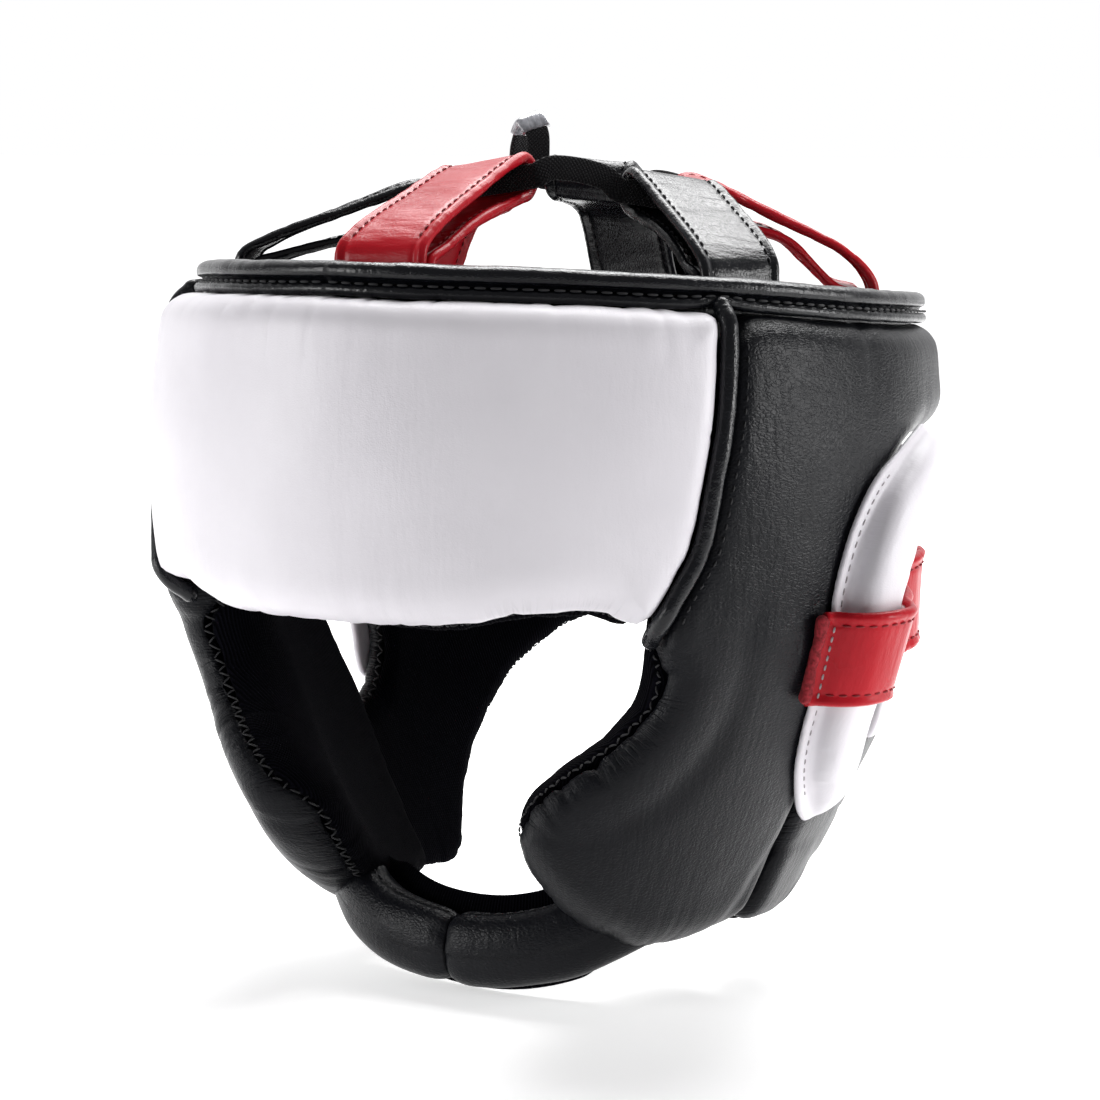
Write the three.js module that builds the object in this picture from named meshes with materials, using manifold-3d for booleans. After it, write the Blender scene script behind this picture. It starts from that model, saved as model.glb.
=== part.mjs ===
// Full-face sparring headgear: padded leather panels round the head, a rolled rim,
// six crown loops drawn together by a flat lace, white ear rolls under red straps, and an under-chin bar.
// Millimetres, +Z up, -Y is the wearer's front and +X the wearer's left.
// The origin is the middle of the head opening, level with the rim at the wearer's temples.
import * as THREE from "three";
import { mergeVertices } from "three/addons/utils/BufferGeometryUtils.js";
import Module from "manifold-3d";

const wasm = await Module();
wasm.setup();

// Driving dimensions
const GAP = 0.35; // clearance between pieces that touch on the real thing
const PAD_THICKNESS = 26; // foam and leather of the forehead and side pads
const BACK_THICKNESS = 11; // thinner panel behind the ears
const LINING_GAP = 0.9; // room for the stitched turn-in between a pad and its lining
const LINING_THICKNESS = 1.5;
const PAD_EDGE_RADIUS = 12;
const PIPING_DIAMETER = 5;
const PIPING_TOP = -5;
const PIPING_BOTTOM = -82;
const PIPING_SINK = 0.6; // the piping's crest lies this far under the pads' faces
const PIPING_CLEAR_DEG = 1.95; // half the slot between the forehead and side pads
const RIM_HEIGHT = 8.9; // from the rim's top to the pads' top edge
const BINDING_WIDTH = 9;
const BINDING_HEIGHT = 5.4;
const RIM_PIPING_WIDTH = 8;
const RIM_PIPING_HEIGHT = 2.6;
const LOOP_WIDTH = 27;
const LOOP_LEATHER = 1.8;
const LOOP_FOLD_RADIUS = 5.5; // middle of the leather where a loop turns round the lace
const LACE_TALL = 6.8;
const LACE_THICK = 1.8;
const LACE_JOINT = 0.001; // gap between the lace's ends inside the rear tape, as a share of its length
const TAPE_WALL = 0.6;
const TAPE_CLEAR = 0.6;
const TAPE_REACH = 0.9; // half length of a tape sleeve, in steps between the points of the lace's arch
const FOOT_LIFT = 0.6; // clears the facets of the wall under an ear roll
const EAR_STRAP_HEIGHT = 27;
const EAR_STRAP_LEATHER = 2;
const EAR_STRAP_MID = -96;
const CHIN_TALL = 21;
const CHIN_THICK = 15;
const CHIN_LINING_TALL = 27;
const CHIN_LINING_THICK = 2.2;

// Outside of the side pads by height: an ellipse with its own depth in front and behind
const SHELL = [
  { z: 14, halfWidth: 98, frontDepth: 117, rearDepth: 119 },
  { z: -8, halfWidth: 104, frontDepth: 121, rearDepth: 120 },
  { z: -45, halfWidth: 108, frontDepth: 125, rearDepth: 119 },
  { z: -85, halfWidth: 106, frontDepth: 122, rearDepth: 114 },
  { z: -120, halfWidth: 94, frontDepth: 110, rearDepth: 106 },
  { z: -150, halfWidth: 81, frontDepth: 96, rearDepth: 103 },
  { z: -175, halfWidth: 68, frontDepth: 80, rearDepth: 92 },
  { z: -200, halfWidth: 54, frontDepth: 62, rearDepth: 74 },
];

// Top of the rim and its distance inside the shell, by station in degrees from the front
const RIM = [
  { station: 0, z: 8.5, inset: 15 },
  { station: 35, z: 7, inset: 14 },
  { station: 60, z: 4.5, inset: 10 },
  { station: 90, z: -0.5, inset: 6 },
  { station: 118, z: -4, inset: 6.5 },
  { station: 130, z: -5, inset: 11 },
  { station: 150, z: -6, inset: 14 },
  { station: 180, z: -7, inset: 14.5 },
];

// Seam between the forehead pad and each side pad
const FRONT_SEAM = [
  { z: -98, station: 51.3 },
  { z: -86, station: 50.5 },
  { z: -64, station: 55.8 },
  { z: -46, station: 57.8 },
  { z: -26, station: 59.8 },
  { z: 10, station: 61.8 },
];

// Lower edge of the forehead pad
const BROW = [
  { station: 0, z: -84 },
  { station: 20, z: -84 },
  { station: 34, z: -80 },
  { station: 42, z: -80 },
  { station: 49, z: -85 },
];

// Side pad: upper edge of the cheek under the eye, then lower edge of the cheek and jaw
const CHEEK_TOP = [
  { station: 30.4, z: -142 },
  { station: 31, z: -137.5 },
  { station: 33.6, z: -131 },
  { station: 39.5, z: -124 },
  { station: 46.4, z: -117 },
  { station: 52, z: -106.5 },
];
const JAW = [
  { station: 30.4, z: -146 },
  { station: 31.2, z: -150 },
  { station: 33.5, z: -157 },
  { station: 38, z: -165 },
  { station: 44, z: -172 },
  { station: 56, z: -181 },
  { station: 72, z: -181.5 },
  { station: 88, z: -179 },
];

// Ear cut-out in the side pad, and the front and lower edges of the back panel
const EAR_CUT = [
  { station: 85.5, top: -84, bottom: -102 },
  { station: 87, top: -66, bottom: -117 },
  { station: 90, top: -55, bottom: -126 },
  { station: 95, top: -47, bottom: -131 },
];
const BACK_TOP = [
  { station: 88.8, z: -136 },
  { station: 96, z: -134 },
  { station: 102, z: -130 },
  { station: 105.9, z: -119 },
  { station: 107.4, z: -100 },
  { station: 107.9, z: -62 },
];
const BACK_BOTTOM = [
  { station: 88.8, z: -179 },
  { station: 100, z: -181.5 },
  { station: 107, z: -182 },
  { station: 110.5, z: -179 },
  { station: 113, z: -171 },
  { station: 116, z: -161 },
  { station: 120, z: -151 },
  { station: 126, z: -141 },
  { station: 134, z: -128 },
  { station: 146, z: -115 },
  { station: 162, z: -106 },
  { station: 180, z: -103 },
];
// How far the back panel's face lies inside the side pads' face
const BACK_INSET = [
  { z: -170, depth: 0 },
  { z: -145, depth: 1.2 },
  { z: -128, depth: 1.2 },
  { z: -112, depth: 3 },
  { z: -95, depth: 8 },
  { z: -80, depth: 10 },
  { z: -55, depth: 10.5 },
  { z: 0, depth: 9 },
];
const ARM_END = 121; // station where the side pad's upper arm meets the back panel
const ARM_BOTTOM = -43;
const ARM_CLEAR = 1.5; // the panel's top dips under the arm's lower corner by this much more than the gap

// Ear rolls: middle line, and the roll's width along the wall and height off it
const EAR_ROLL_FRONT = [
  { station: 97.9, z: -42, width: 7, height: 5 },
  { station: 91.2, z: -48, width: 12, height: 8 },
  { station: 86.5, z: -57, width: 17.5, height: 9.5 },
  { station: 83.3, z: -70, width: 20, height: 10.5 },
  { station: 81.3, z: -85, width: 19, height: 10.5 },
  { station: 81.7, z: -104, width: 20, height: 10.5 },
  { station: 83, z: -122, width: 20, height: 10.5 },
  { station: 86.6, z: -136, width: 17, height: 9 },
  { station: 89.9, z: -145, width: 9, height: 5 },
];
const EAR_ROLL_REAR = [
  { station: 106, z: -52, width: 7, height: 3 },
  { station: 108, z: -63, width: 12, height: 4 },
  { station: 108.5, z: -82, width: 13, height: 4.2 },
  { station: 108.5, z: -98, width: 13, height: 4.2 },
  { station: 108, z: -112, width: 12, height: 3.8 },
  { station: 106, z: -124, width: 7, height: 2.6 },
  { station: 105, z: -128, width: 3.5, height: 1.6 },
];

// Crown loops, in two colours by turns. Each row gives the station where the loop is sewn to the rim,
// the place where the lace runs through it, the rise of its fold towards the next loop, and the spring
// of the free lace on its way there.
const LOOPS = [
  { name: "front", station: 5, lace: 3, radius: 46, laceZ: 27, tilt: 4, spring: 3.4, dye: "red" },
  { name: "left_front", station: 70, lace: 70, radius: 48, laceZ: 23, tilt: -4, spring: 0, dye: "black" },
  { name: "left_rear", station: 123, lace: 118, radius: 38, laceZ: 22, tilt: 2, spring: 2, dye: "red" },
  { name: "rear", station: 197, lace: 197, radius: 31, laceZ: 27, tilt: 2, spring: 16, dye: "black" },
  { name: "right_rear", station: 246, lace: 249, radius: 49, laceZ: 23, tilt: -2, spring: 0, dye: "red" },
  { name: "right_front", station: 298, lace: 302, radius: 42, laceZ: 21, tilt: 0, spring: 2, dye: "black" },
];
const CROWN_CENTRE_Y = 6;

// Under-chin bar: middle line from the wearer's middle to the jaw
const CHIN = [
  { x: 0, y: -51, z: -184.5 },
  { x: 18, y: -49.5, z: -183.5 },
  { x: 34, y: -44, z: -180 },
  { x: 50, y: -33, z: -171 },
];

const material = (color, roughness, opacity = 1) =>
  new THREE.MeshStandardMaterial({ color, roughness, metalness: 0, opacity, transparent: opacity < 1 });
const whiteLeather = material("#e6e3ea", 0.42);
const blackLeather = material("#2a2c31", 0.48);
const redLeather = material("#c4202c", 0.4);
const liningCloth = material("#0b0a10", 0.95);
const laceCloth = material("#0c0b0e", 0.9);
const clearTape = material("#c9ccd4", 0.15, 0.5);

const radians = THREE.MathUtils.degToRad;
const mirrored = (station) => (station > 180 ? 360 - station : station);

// A smooth function through a table, with no overshoot between rows
function through(rows, from, to) {
  const sorted = [...rows].sort((a, b) => a[from] - b[from]);
  const x = sorted.map((row) => row[from]);
  const y = sorted.map((row) => row[to]);
  const last = x.length - 1;
  const slope = x.slice(1).map((value, i) => (y[i + 1] - y[i]) / (value - x[i]));
  const tangent = x.map((_, i) => {
    if (i === 0) return slope[0];
    if (i === last) return slope[last - 1];
    const [before, after] = [slope[i - 1], slope[i]];
    return before * after <= 0 ? 0 : (2 * before * after) / (before + after);
  });
  return (value) => {
    if (value <= x[0]) return y[0];
    if (value >= x[last]) return y[last];
    const i = x.findIndex((end) => end > value) - 1;
    const step = x[i + 1] - x[i];
    const t = (value - x[i]) / step;
    const [t2, t3] = [t * t, t * t * t];
    return (
      (2 * t3 - 3 * t2 + 1) * y[i] +
      (t3 - 2 * t2 + t) * step * tangent[i] +
      (3 * t2 - 2 * t3) * y[i + 1] +
      (t3 - t2) * step * tangent[i + 1]
    );
  };
}

const halfWidthAt = through(SHELL, "z", "halfWidth");
const frontDepthAt = through(SHELL, "z", "frontDepth");
const rearDepthAt = through(SHELL, "z", "rearDepth");
const rimZ = through(RIM, "station", "z");
const rimInset = through(RIM, "station", "inset");
const seamStation = through(FRONT_SEAM, "z", "station");
const backInset = through(BACK_INSET, "z", "depth");

// Point of the shell at a station and height, a given depth inside its face
function shellPoint(station, z, depth) {
  const angle = radians(station);
  const reach = Math.cos(angle) > 0 ? frontDepthAt(z) : rearDepthAt(z);
  const x = (halfWidthAt(z) - depth) * Math.sin(angle);
  const y = -(reach - depth) * Math.cos(angle);
  return new THREE.Vector3(x, y, z);
}

// Closed solid through rings of equal length; a looped stack joins its last ring to its first
function loft(rings, looped = false) {
  const count = rings[0].length;
  const points = rings.flat();
  const faces = [];
  const spans = looped ? rings.length : rings.length - 1;
  for (let i = 0; i < spans; i++) {
    const [here, next] = [i * count, ((i + 1) % rings.length) * count];
    for (let j = 0; j < count; j++) {
      const k = (j + 1) % count;
      faces.push([here + j, here + k, next + k], [here + j, next + k, next + j]);
    }
  }
  if (!looped) {
    for (const [start, turn] of [[0, 1], [(rings.length - 1) * count, 0]]) {
      const middle = points.length;
      const ring = points.slice(start, start + count);
      points.push(ring.reduce((sum, p) => sum.clone().add(p)).multiplyScalar(1 / count));
      for (let j = 0; j < count; j++) {
        const [a, b] = [start + j, start + ((j + 1) % count)];
        faces.push(turn ? [middle, b, a] : [middle, a, b]);
      }
    }
  }
  const volume = faces.reduce((sum, [a, b, c]) => {
    const cross = new THREE.Vector3().crossVectors(points[b], points[c]);
    return sum + points[a].dot(cross);
  }, 0);
  if (volume < 0) faces.forEach((face) => face.reverse());
  const geometry = new THREE.BufferGeometry().setFromPoints(points);
  return geometry.setIndex(faces.flat());
}

function toSolid(geometry) {
  const plain = mergeVertices(geometry, 1e-3);
  const vertProperties = plain.attributes.position.array;
  const triVerts = new Uint32Array(plain.index.array);
  return new wasm.Manifold(new wasm.Mesh({ numProp: 3, vertProperties, triVerts }));
}

function fromSolid(solid) {
  const { vertProperties, triVerts } = solid.getMesh();
  const geometry = new THREE.BufferGeometry();
  geometry.setAttribute("position", new THREE.BufferAttribute(vertProperties, 3));
  return geometry.setIndex(new THREE.BufferAttribute(triVerts, 1));
}

const cut = (geometry, ...tools) =>
  fromSolid(tools.reduce((solid, tool) => solid.subtract(toSolid(tool)), toSolid(geometry)));

const mirrorX = (geometry) => {
  const turned = geometry.clone().scale(-1, 1, 1);
  const index = turned.index.array;
  for (let i = 0; i < index.length; i += 3) [index[i + 1], index[i + 2]] = [index[i + 2], index[i + 1]];
  return turned;
};

// Outline of a pad's cross-section as [height, depth] pairs: long sides with rounded ends
const PADDED = { radius: PAD_EDGE_RADIUS, endSteps: 3, sideSteps: 4 };
const THIN_PADDED = { radius: 4.5, endSteps: 2, sideSteps: 4 };
const CLOTH = { radius: 0.3, endSteps: 1, sideSteps: 4 };
const LINING_INSET = PADDED.radius - CLOTH.radius; // a lining covers the flat of its pad
const BACK_LINING_INSET = THIN_PADDED.radius - CLOTH.radius;
function padSection(top, bottom, outside, inside, { radius, endSteps, sideSteps }) {
  const round = Math.min(radius, (top - bottom) / 2 - 0.05, (inside - outside) / 2 - 0.05);
  const corner = (z, depth, start) =>
    Array.from({ length: endSteps + 1 }, (_, i) => {
      const angle = radians(start + (90 * i) / endSteps);
      return [z + round * Math.sin(angle), depth - round * Math.cos(angle)];
    });
  const side = (from, to, depth) =>
    Array.from({ length: sideSteps - 1 }, (_, i) => [from + ((to - from) * (i + 1)) / sideSteps, depth]);
  const [high, low] = [top - round, bottom + round];
  const [near, far] = [outside + round, inside - round];
  return [
    ...corner(high, near, 0),
    ...corner(high, far, 90),
    ...side(high, low, inside),
    ...corner(low, far, 180),
    ...corner(low, near, 270),
    ...side(low, high, outside),
  ];
}

const spread = (from, to, steps) =>
  Array.from({ length: steps + 1 }, (_, i) => from + ((to - from) * i) / steps);

// Forehead pad, whose ends lean with the seams
const FOREHEAD_END = { rim: 58, brow: 49 }; // stations of its top and bottom corners
function foreheadPad(outside, inside, inset, section) {
  const brow = through(BROW, "station", "z");
  const columns = spread(-1, 1, 12).map((share) => {
    const top = rimZ(Math.abs(share) * FOREHEAD_END.rim) - RIM_HEIGHT - inset;
    const bottom = brow(Math.abs(share) * FOREHEAD_END.brow) + inset;
    return padSection(top, bottom, outside, inside, section).map(([z, depth]) =>
      shellPoint(share * (seamStation(z) - PIPING_CLEAR_DEG - inset / 2), z, depth),
    );
  });
  return loft(columns);
}

// Side pad of the wearer's left: cheek, temple and the arm above the ear
const cheekTop = through(CHEEK_TOP, "station", "z");
const jaw = through(JAW, "station", "z");
const FRONT_COLUMN = 52.4;
const LEAN_SPAN = 36; // degrees over which the lean of the front seam dies away
function sidePad(outside, inside, inset, section) {
  const cheek = [30.4, 31.4, 34.5, 39.5, 46, 52];
  const temple = [52.4, 57, 62.5, 69, 76, 82.5, 88];
  const arm = [88.8, 96, 104, 112, ARM_END];
  const columns = [...cheek, ...temple, ...arm].map((station) => {
    const isCheek = station < FRONT_COLUMN;
    const isArm = station > temple.at(-1);
    const lean = isCheek ? 0 : Math.max(0, 1 - (station - FRONT_COLUMN) / LEAN_SPAN);
    const leaned = (z) => station + (seamStation(z) - FRONT_COLUMN + PIPING_CLEAR_DEG + inset / 2) * lean;
    const top = isCheek ? cheekTop(station) : rimZ(leaned(0)) - RIM_HEIGHT;
    const bottom = isArm ? ARM_BOTTOM : jaw(station);
    const middle = (top + bottom) / 2;
    const half = Math.max((top - bottom) / 2 - inset, 1);
    return padSection(middle + half, middle - half, outside, inside, section).map(([z, depth]) =>
      shellPoint(leaned(z), z, depth),
    );
  });
  return loft(columns);
}

// Slot through the side pad at the ear, from outside its face to well inside its lining
const EAR_CUT_DEPTH = { from: -30, to: 60 };
function earCutter(grow) {
  const top = through(EAR_CUT, "station", "top");
  const bottom = through(EAR_CUT, "station", "bottom");
  const { from, to } = EAR_CUT_DEPTH;
  const columns = [85.4, 85.9, 87, 90, 95].map((station) =>
    padSection(top(station) + grow, bottom(station) - grow, from, to, CLOTH).map(([z, depth]) =>
      shellPoint(station - grow / 2, z, depth),
    ),
  );
  return loft(columns);
}

// Back panel from one jaw round the neck to the other
function backPanel(outside, inside, inset, section) {
  const top = through(BACK_TOP, "station", "z");
  const bottom = through(BACK_BOTTOM, "station", "z");
  const belowEar = [88.9, 96, 102, 105.9, 107.8];
  const behindEar = [108.3, 112, 115.5, 119, ARM_END + 0.6];
  const behindArm = [ARM_END + 1.2, 130, 142, 160];
  const half = [...belowEar, ...behindEar, ...behindArm];
  const stations = [...half, 180, ...half.map((station) => 360 - station).reverse()];
  const columns = stations.map((station) => {
    const near = mirrored(station);
    const atEar = near < BACK_TOP.at(-1).station;
    const underArm = ARM_BOTTOM - GAP - ARM_CLEAR;
    const over = near > ARM_END + 1 ? rimZ(near) - RIM_HEIGHT : underArm;
    const high = (atEar ? top(near) : over) - inset;
    return padSection(high, bottom(near) + inset, outside, inside, section).map(([z, depth]) =>
      shellPoint(station, z, backInset(z) + depth),
    );
  });
  return loft(columns);
}

// Tube of elliptical section along points, with its width across and its height along given axes
function ringAt(centre, across, along, halfAcross, halfAlong, sides) {
  return Array.from({ length: sides }, (_, i) => {
    const angle = (2 * Math.PI * i) / sides;
    return centre
      .clone()
      .addScaledVector(across, halfAcross * Math.cos(angle))
      .addScaledVector(along, halfAlong * Math.sin(angle));
  });
}

function frontPiping() {
  const depth = PIPING_DIAMETER / 2 + PIPING_SINK;
  const points = spread(PIPING_TOP, PIPING_BOTTOM, 14).map((z) => shellPoint(seamStation(z), z, depth));
  const path = new THREE.CatmullRomCurve3(points);
  const rings = spread(0, 1, 12).map((share) => {
    const centre = path.getPointAt(share);
    const outward = new THREE.Vector3(centre.x, centre.y, 0).normalize();
    const across = new THREE.Vector3().crossVectors(outward, path.getTangentAt(share)).normalize();
    return ringAt(centre, across, outward, PIPING_DIAMETER / 2, PIPING_DIAMETER / 2, 8);
  });
  return loft(rings);
}

// Rolls that run right round the rim
function rimRoll(width, height, drop, sides) {
  const rings = spread(0, 360, 40)
    .slice(0, -1)
    .map((station) => {
      const near = mirrored(station);
      const z = rimZ(near) - drop;
      const centre = shellPoint(station, z, rimInset(near));
      const outward = new THREE.Vector3(centre.x, centre.y, 0).normalize();
      return ringAt(centre, outward, new THREE.Vector3(0, 0, 1), width / 2, height / 2, sides);
    });
  return loft(rings, true);
}

// Padded roll lying on a wall beside the ear: a flat foot and a round back
const ROLL_BACK = spread(0, 180, 7).map(radians);
const ROLL_FOOT = [-0.5, 0.5];
function earRoll(rows, wallDepth) {
  const shared = rows.map((row, i) => ({ share: i / (rows.length - 1), ...row }));
  const [stationAt, zAt, widthAt, heightAt] = ["station", "z", "width", "height"].map((key) =>
    through(shared, "share", key),
  );
  const footAt = (share) => shellPoint(stationAt(share), zAt(share), wallDepth(zAt(share)) - GAP);
  const rings = spread(0, 1, 12).map((share) => {
    const foot = footAt(share);
    const [station, z] = [stationAt(share), zAt(share)];
    const out = shellPoint(station, z, -1).sub(shellPoint(station, z, 0));
    const along = footAt(share + 0.02).sub(footAt(share - 0.02)).normalize();
    const across = new THREE.Vector3().crossVectors(along, out.normalize()).normalize();
    const place = (side, rise) =>
      foot
        .clone()
        .addScaledVector(across, (side * widthAt(share)) / 2)
        .addScaledVector(out, rise + FOOT_LIFT);
    return [
      ...ROLL_BACK.map((angle) => place(Math.cos(angle), heightAt(share) * Math.sin(angle) ** 0.8)),
      ...ROLL_FOOT.map((side) => place(side, 0)),
    ];
  });
  return loft(rings);
}

// Flat strip swept along points, whose width axis turns on the way
function strip(points, widthAxisAt, width, thickness, steps) {
  const path = new THREE.CatmullRomCurve3(points, false, "centripetal");
  const rings = spread(0, 1, steps).map((share) => {
    const centre = path.getPointAt(share);
    const axis = widthAxisAt(share);
    const face = new THREE.Vector3().crossVectors(path.getTangentAt(share), axis).normalize();
    return [[-1, -1], [1, -1], [1, 1], [-1, 1]].map(([side, skin]) =>
      centre
        .clone()
        .addScaledVector(axis, (side * width) / 2)
        .addScaledVector(face, (skin * thickness) / 2),
    );
  });
  return loft(rings);
}

// Strap over both ear rolls, sewn to the side pad in front and, higher up, to the back panel behind
const EAR_STRAP_PATH = [
  { station: 74.4, lift: 1.9, rise: 0 },
  { station: 75.6, lift: 3, rise: 0 },
  { station: 76.6, lift: 7.5, rise: 0 },
  { station: 78.8, lift: 11.8, rise: 0 },
  { station: 81.5, lift: 13.1, rise: 0 },
  { station: 84.5, lift: 12.8, rise: 0 },
  { station: 87.2, lift: 9.5, rise: 0 },
  { station: 89.6, lift: 5, rise: 0.5 },
  { station: 93, lift: 3, rise: 1.5 },
  { station: 97, lift: 3, rise: 3.5 },
  { station: 100.5, lift: 4, rise: 5 },
  { station: 103.5, lift: 5.6, rise: 6.5 },
  { station: 106, lift: 6.8, rise: 7 },
  { station: 108.5, lift: 7, rise: 7.5 },
  { station: 111, lift: 6.2, rise: 8 },
  { station: 113, lift: 3.4, rise: 8 },
  { station: 115, lift: 1.9, rise: 8 },
];
const onBackPanel = (station) => THREE.MathUtils.smoothstep(station, 91, 101);
function earStrap() {
  const tall = spread(EAR_STRAP_HEIGHT / 2, -EAR_STRAP_HEIGHT / 2, 2);
  const levels = tall.map((up) => {
    const points = EAR_STRAP_PATH.map(({ station, lift, rise }) => {
      const z = EAR_STRAP_MID + up + rise;
      return shellPoint(station, z, backInset(z) * onBackPanel(station) - lift);
    });
    return new THREE.CatmullRomCurve3(points, false, "centripetal");
  });
  const rings = spread(0, 1, 28).map((share) => {
    const skin = (side) =>
      levels.map((path) => {
        const tangent = path.getTangentAt(share);
        const face = new THREE.Vector3(tangent.y, -tangent.x, 0).normalize();
        return path.getPointAt(share).addScaledVector(face, (side * EAR_STRAP_LEATHER) / 2);
      });
    return [...skin(1), ...skin(-1).reverse()];
  });
  return loft(rings);
}

// Where a loop is sewn on, where the lace runs in it, and the loop's width axis at both places
const LOOP_FOOT_CLEAR = 4.6; // from the binding to the middle of the outer sewn end
function loopPlaces({ station, lace: laceStation, radius, laceZ, tilt }) {
  const near = mirrored(station);
  const footZ = rimZ(near) - RIM_HEIGHT + 1;
  const depth = rimInset(near) + BINDING_WIDTH / 2 + LOOP_FOOT_CLEAR;
  const foot = shellPoint(station, footZ, depth);
  const [before, after] = [-2, 2].map((turn) => shellPoint(station + turn, footZ, depth));
  const footAxis = after.sub(before).normalize();
  const angle = radians(laceStation);
  const laceY = CROWN_CENTRE_Y - radius * Math.cos(angle);
  const lace = new THREE.Vector3(radius * Math.sin(angle), laceY, laceZ);
  const inward = new THREE.Vector3(lace.x - foot.x, lace.y - foot.y, 0);
  const run = inward.length();
  inward.normalize();
  const laceAxis = new THREE.Vector3(inward.y, -inward.x, tilt / LOOP_WIDTH).normalize();
  return { foot, footAxis, lace, laceAxis, inward, run };
}

// Loop from the rim over the lace and back to the rim, its lower layer hanging slack
const LOOP_FEET_APART = 4;
const LOOP_STAND = 6; // the sewn ends stand upright this far before they lean inward
const LOOP_SLACK = 5; // sag of the lower layer below the fold
const LOOP_RUN = { start: 0.15, lowerStart: 0.25, middle: 0.55 }; // shares of the way in to the lace
const LOOP_CLIMB = { start: 0.4, middle: 0.7 }; // shares of the upper layer's rise at those places
function crownLoop(loop) {
  const { foot, footAxis, lace, laceAxis, inward, run } = loopPlaces(loop);
  const at = (distance, z) => foot.clone().addScaledVector(inward, distance).setZ(z);
  const foldCentre = run + LACE_THICK / 2;
  const fold = spread(90, -90, 6).map((angle) => {
    const turn = radians(angle);
    const reach = foldCentre + LOOP_FOLD_RADIUS * Math.cos(turn);
    return at(reach, lace.z + LOOP_FOLD_RADIUS * Math.sin(turn));
  });
  const [high, low] = [lace.z + LOOP_FOLD_RADIUS, lace.z - LOOP_FOLD_RADIUS];
  const climb = (share) => foot.z + (high - foot.z) * share;
  const upper = [
    at(0, foot.z),
    at(1, foot.z + LOOP_STAND),
    at(LOOP_RUN.start * run, climb(LOOP_CLIMB.start)),
    at(LOOP_RUN.middle * run, climb(LOOP_CLIMB.middle)),
  ];
  const lower = [
    at(LOOP_RUN.middle * run, low - LOOP_SLACK),
    at(LOOP_RUN.lowerStart * run, foot.z + LOOP_STAND),
    at(LOOP_FEET_APART + 1, foot.z + LOOP_STAND / 2),
    at(LOOP_FEET_APART, foot.z),
  ];
  const widthAxisAt = (share) => footAxis.clone().lerp(laceAxis, Math.sin(Math.PI * share)).normalize();
  return strip([...upper, ...fold, ...lower], widthAxisAt, LOOP_WIDTH, LOOP_LEATHER, 24);
}

// Middle line of the lace: straight through every loop, with an arch between each loop and the next
const LACE_STRAIGHT = [-16.5, -12, 0, 12, 16.5];
const LACE_ARCH = [
  { share: 0.15, rise: 0.7 },
  { share: 0.5, rise: 1 },
  { share: 0.85, rise: 0.7 },
];
const LACE_POINTS_PER_LOOP = LACE_STRAIGHT.length + LACE_ARCH.length;
function lacePath() {
  const places = LOOPS.map(loopPlaces);
  const along = ({ lace, laceAxis }, distance) => lace.clone().addScaledVector(laceAxis, distance);
  const points = LOOPS.flatMap(({ spring }, i) => {
    const start = along(places[i], LACE_STRAIGHT.at(-1));
    const end = along(places[(i + 1) % LOOPS.length], LACE_STRAIGHT[0]);
    const arch = LACE_ARCH.map(({ share, rise }) => {
      const point = start.clone().lerp(end, share);
      point.z += rise * spring;
      return point;
    });
    return [...LACE_STRAIGHT.map((distance) => along(places[i], distance)), ...arch];
  });
  return new THREE.CatmullRomCurve3(points, true, "centripetal");
}

// Width axis of the lace: upright in the middle of every loop and carried along the path between them
function laceUp(path, share) {
  const middle = LACE_STRAIGHT.indexOf(0) / LACE_POINTS_PER_LOOP;
  const loop = Math.floor(share * LOOPS.length - middle);
  const [first, last] = [loop, loop + 1].map((i) => (i + middle) / LOOPS.length);
  const tangentAt = (place) => path.getTangent(THREE.MathUtils.euclideanModulo(place, 1));
  const square = (up, tangent) => up.addScaledVector(tangent, -up.dot(tangent)).normalize();
  const carried = (to) =>
    spread(first, to, 60).reduce((up, place) => square(up, tangentAt(place)), new THREE.Vector3(0, 0, 1));
  const [arrived, tangent] = [carried(last), tangentAt(last)];
  const upright = square(new THREE.Vector3(0, 0, 1), tangent);
  const aside = new THREE.Vector3().crossVectors(tangent, arrived);
  const twist = Math.atan(upright.dot(aside) / upright.dot(arrived));
  const progress = THREE.MathUtils.smoothstep(share, first, last);
  return carried(share).applyAxisAngle(tangentAt(share), twist * progress);
}

// Rings of the flat lace from one place of its path to another
function laceRings(path, from, to, steps, tall, thick) {
  let before;
  return spread(from, to, steps).map((share) => {
    const place = THREE.MathUtils.euclideanModulo(share, 1);
    const up = laceUp(path, place);
    if (before?.dot(up) < 0) up.negate();
    before = up;
    const out = new THREE.Vector3().crossVectors(path.getTangent(place), up);
    return [[-1, -1], [1, -1], [1, 1], [-1, 1]].map(([side, end]) =>
      path
        .getPoint(place)
        .addScaledVector(out, (side * thick) / 2)
        .addScaledVector(up, (end * tall) / 2),
    );
  });
}

// Top of the arch between a loop and the next, as a share of the lace's path
function archTop(loopName) {
  const top = LACE_STRAIGHT.length + LACE_ARCH.findIndex(({ rise }) => rise === 1);
  return (LOOPS.findIndex(({ name }) => name === loopName) + top / LACE_POINTS_PER_LOOP) / LOOPS.length;
}

// Sleeve of clear tape round the top of an arch
function tapeSleeve(path, loopName) {
  const reach = TAPE_REACH / LACE_POINTS_PER_LOOP / LOOPS.length;
  const [from, to] = [archTop(loopName) - reach, archTop(loopName) + reach];
  const [inner, outer] = [TAPE_CLEAR, TAPE_CLEAR + TAPE_WALL].map((spare) =>
    laceRings(path, from, to, 8, LACE_TALL + 2 * spare, LACE_THICK + 2 * spare),
  );
  const wallAt = (corner) => [...outer, ...inner.toReversed()].map((ring) => ring[corner]);
  return loft([0, 1, 2, 3].map(wallAt), true);
}

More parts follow.
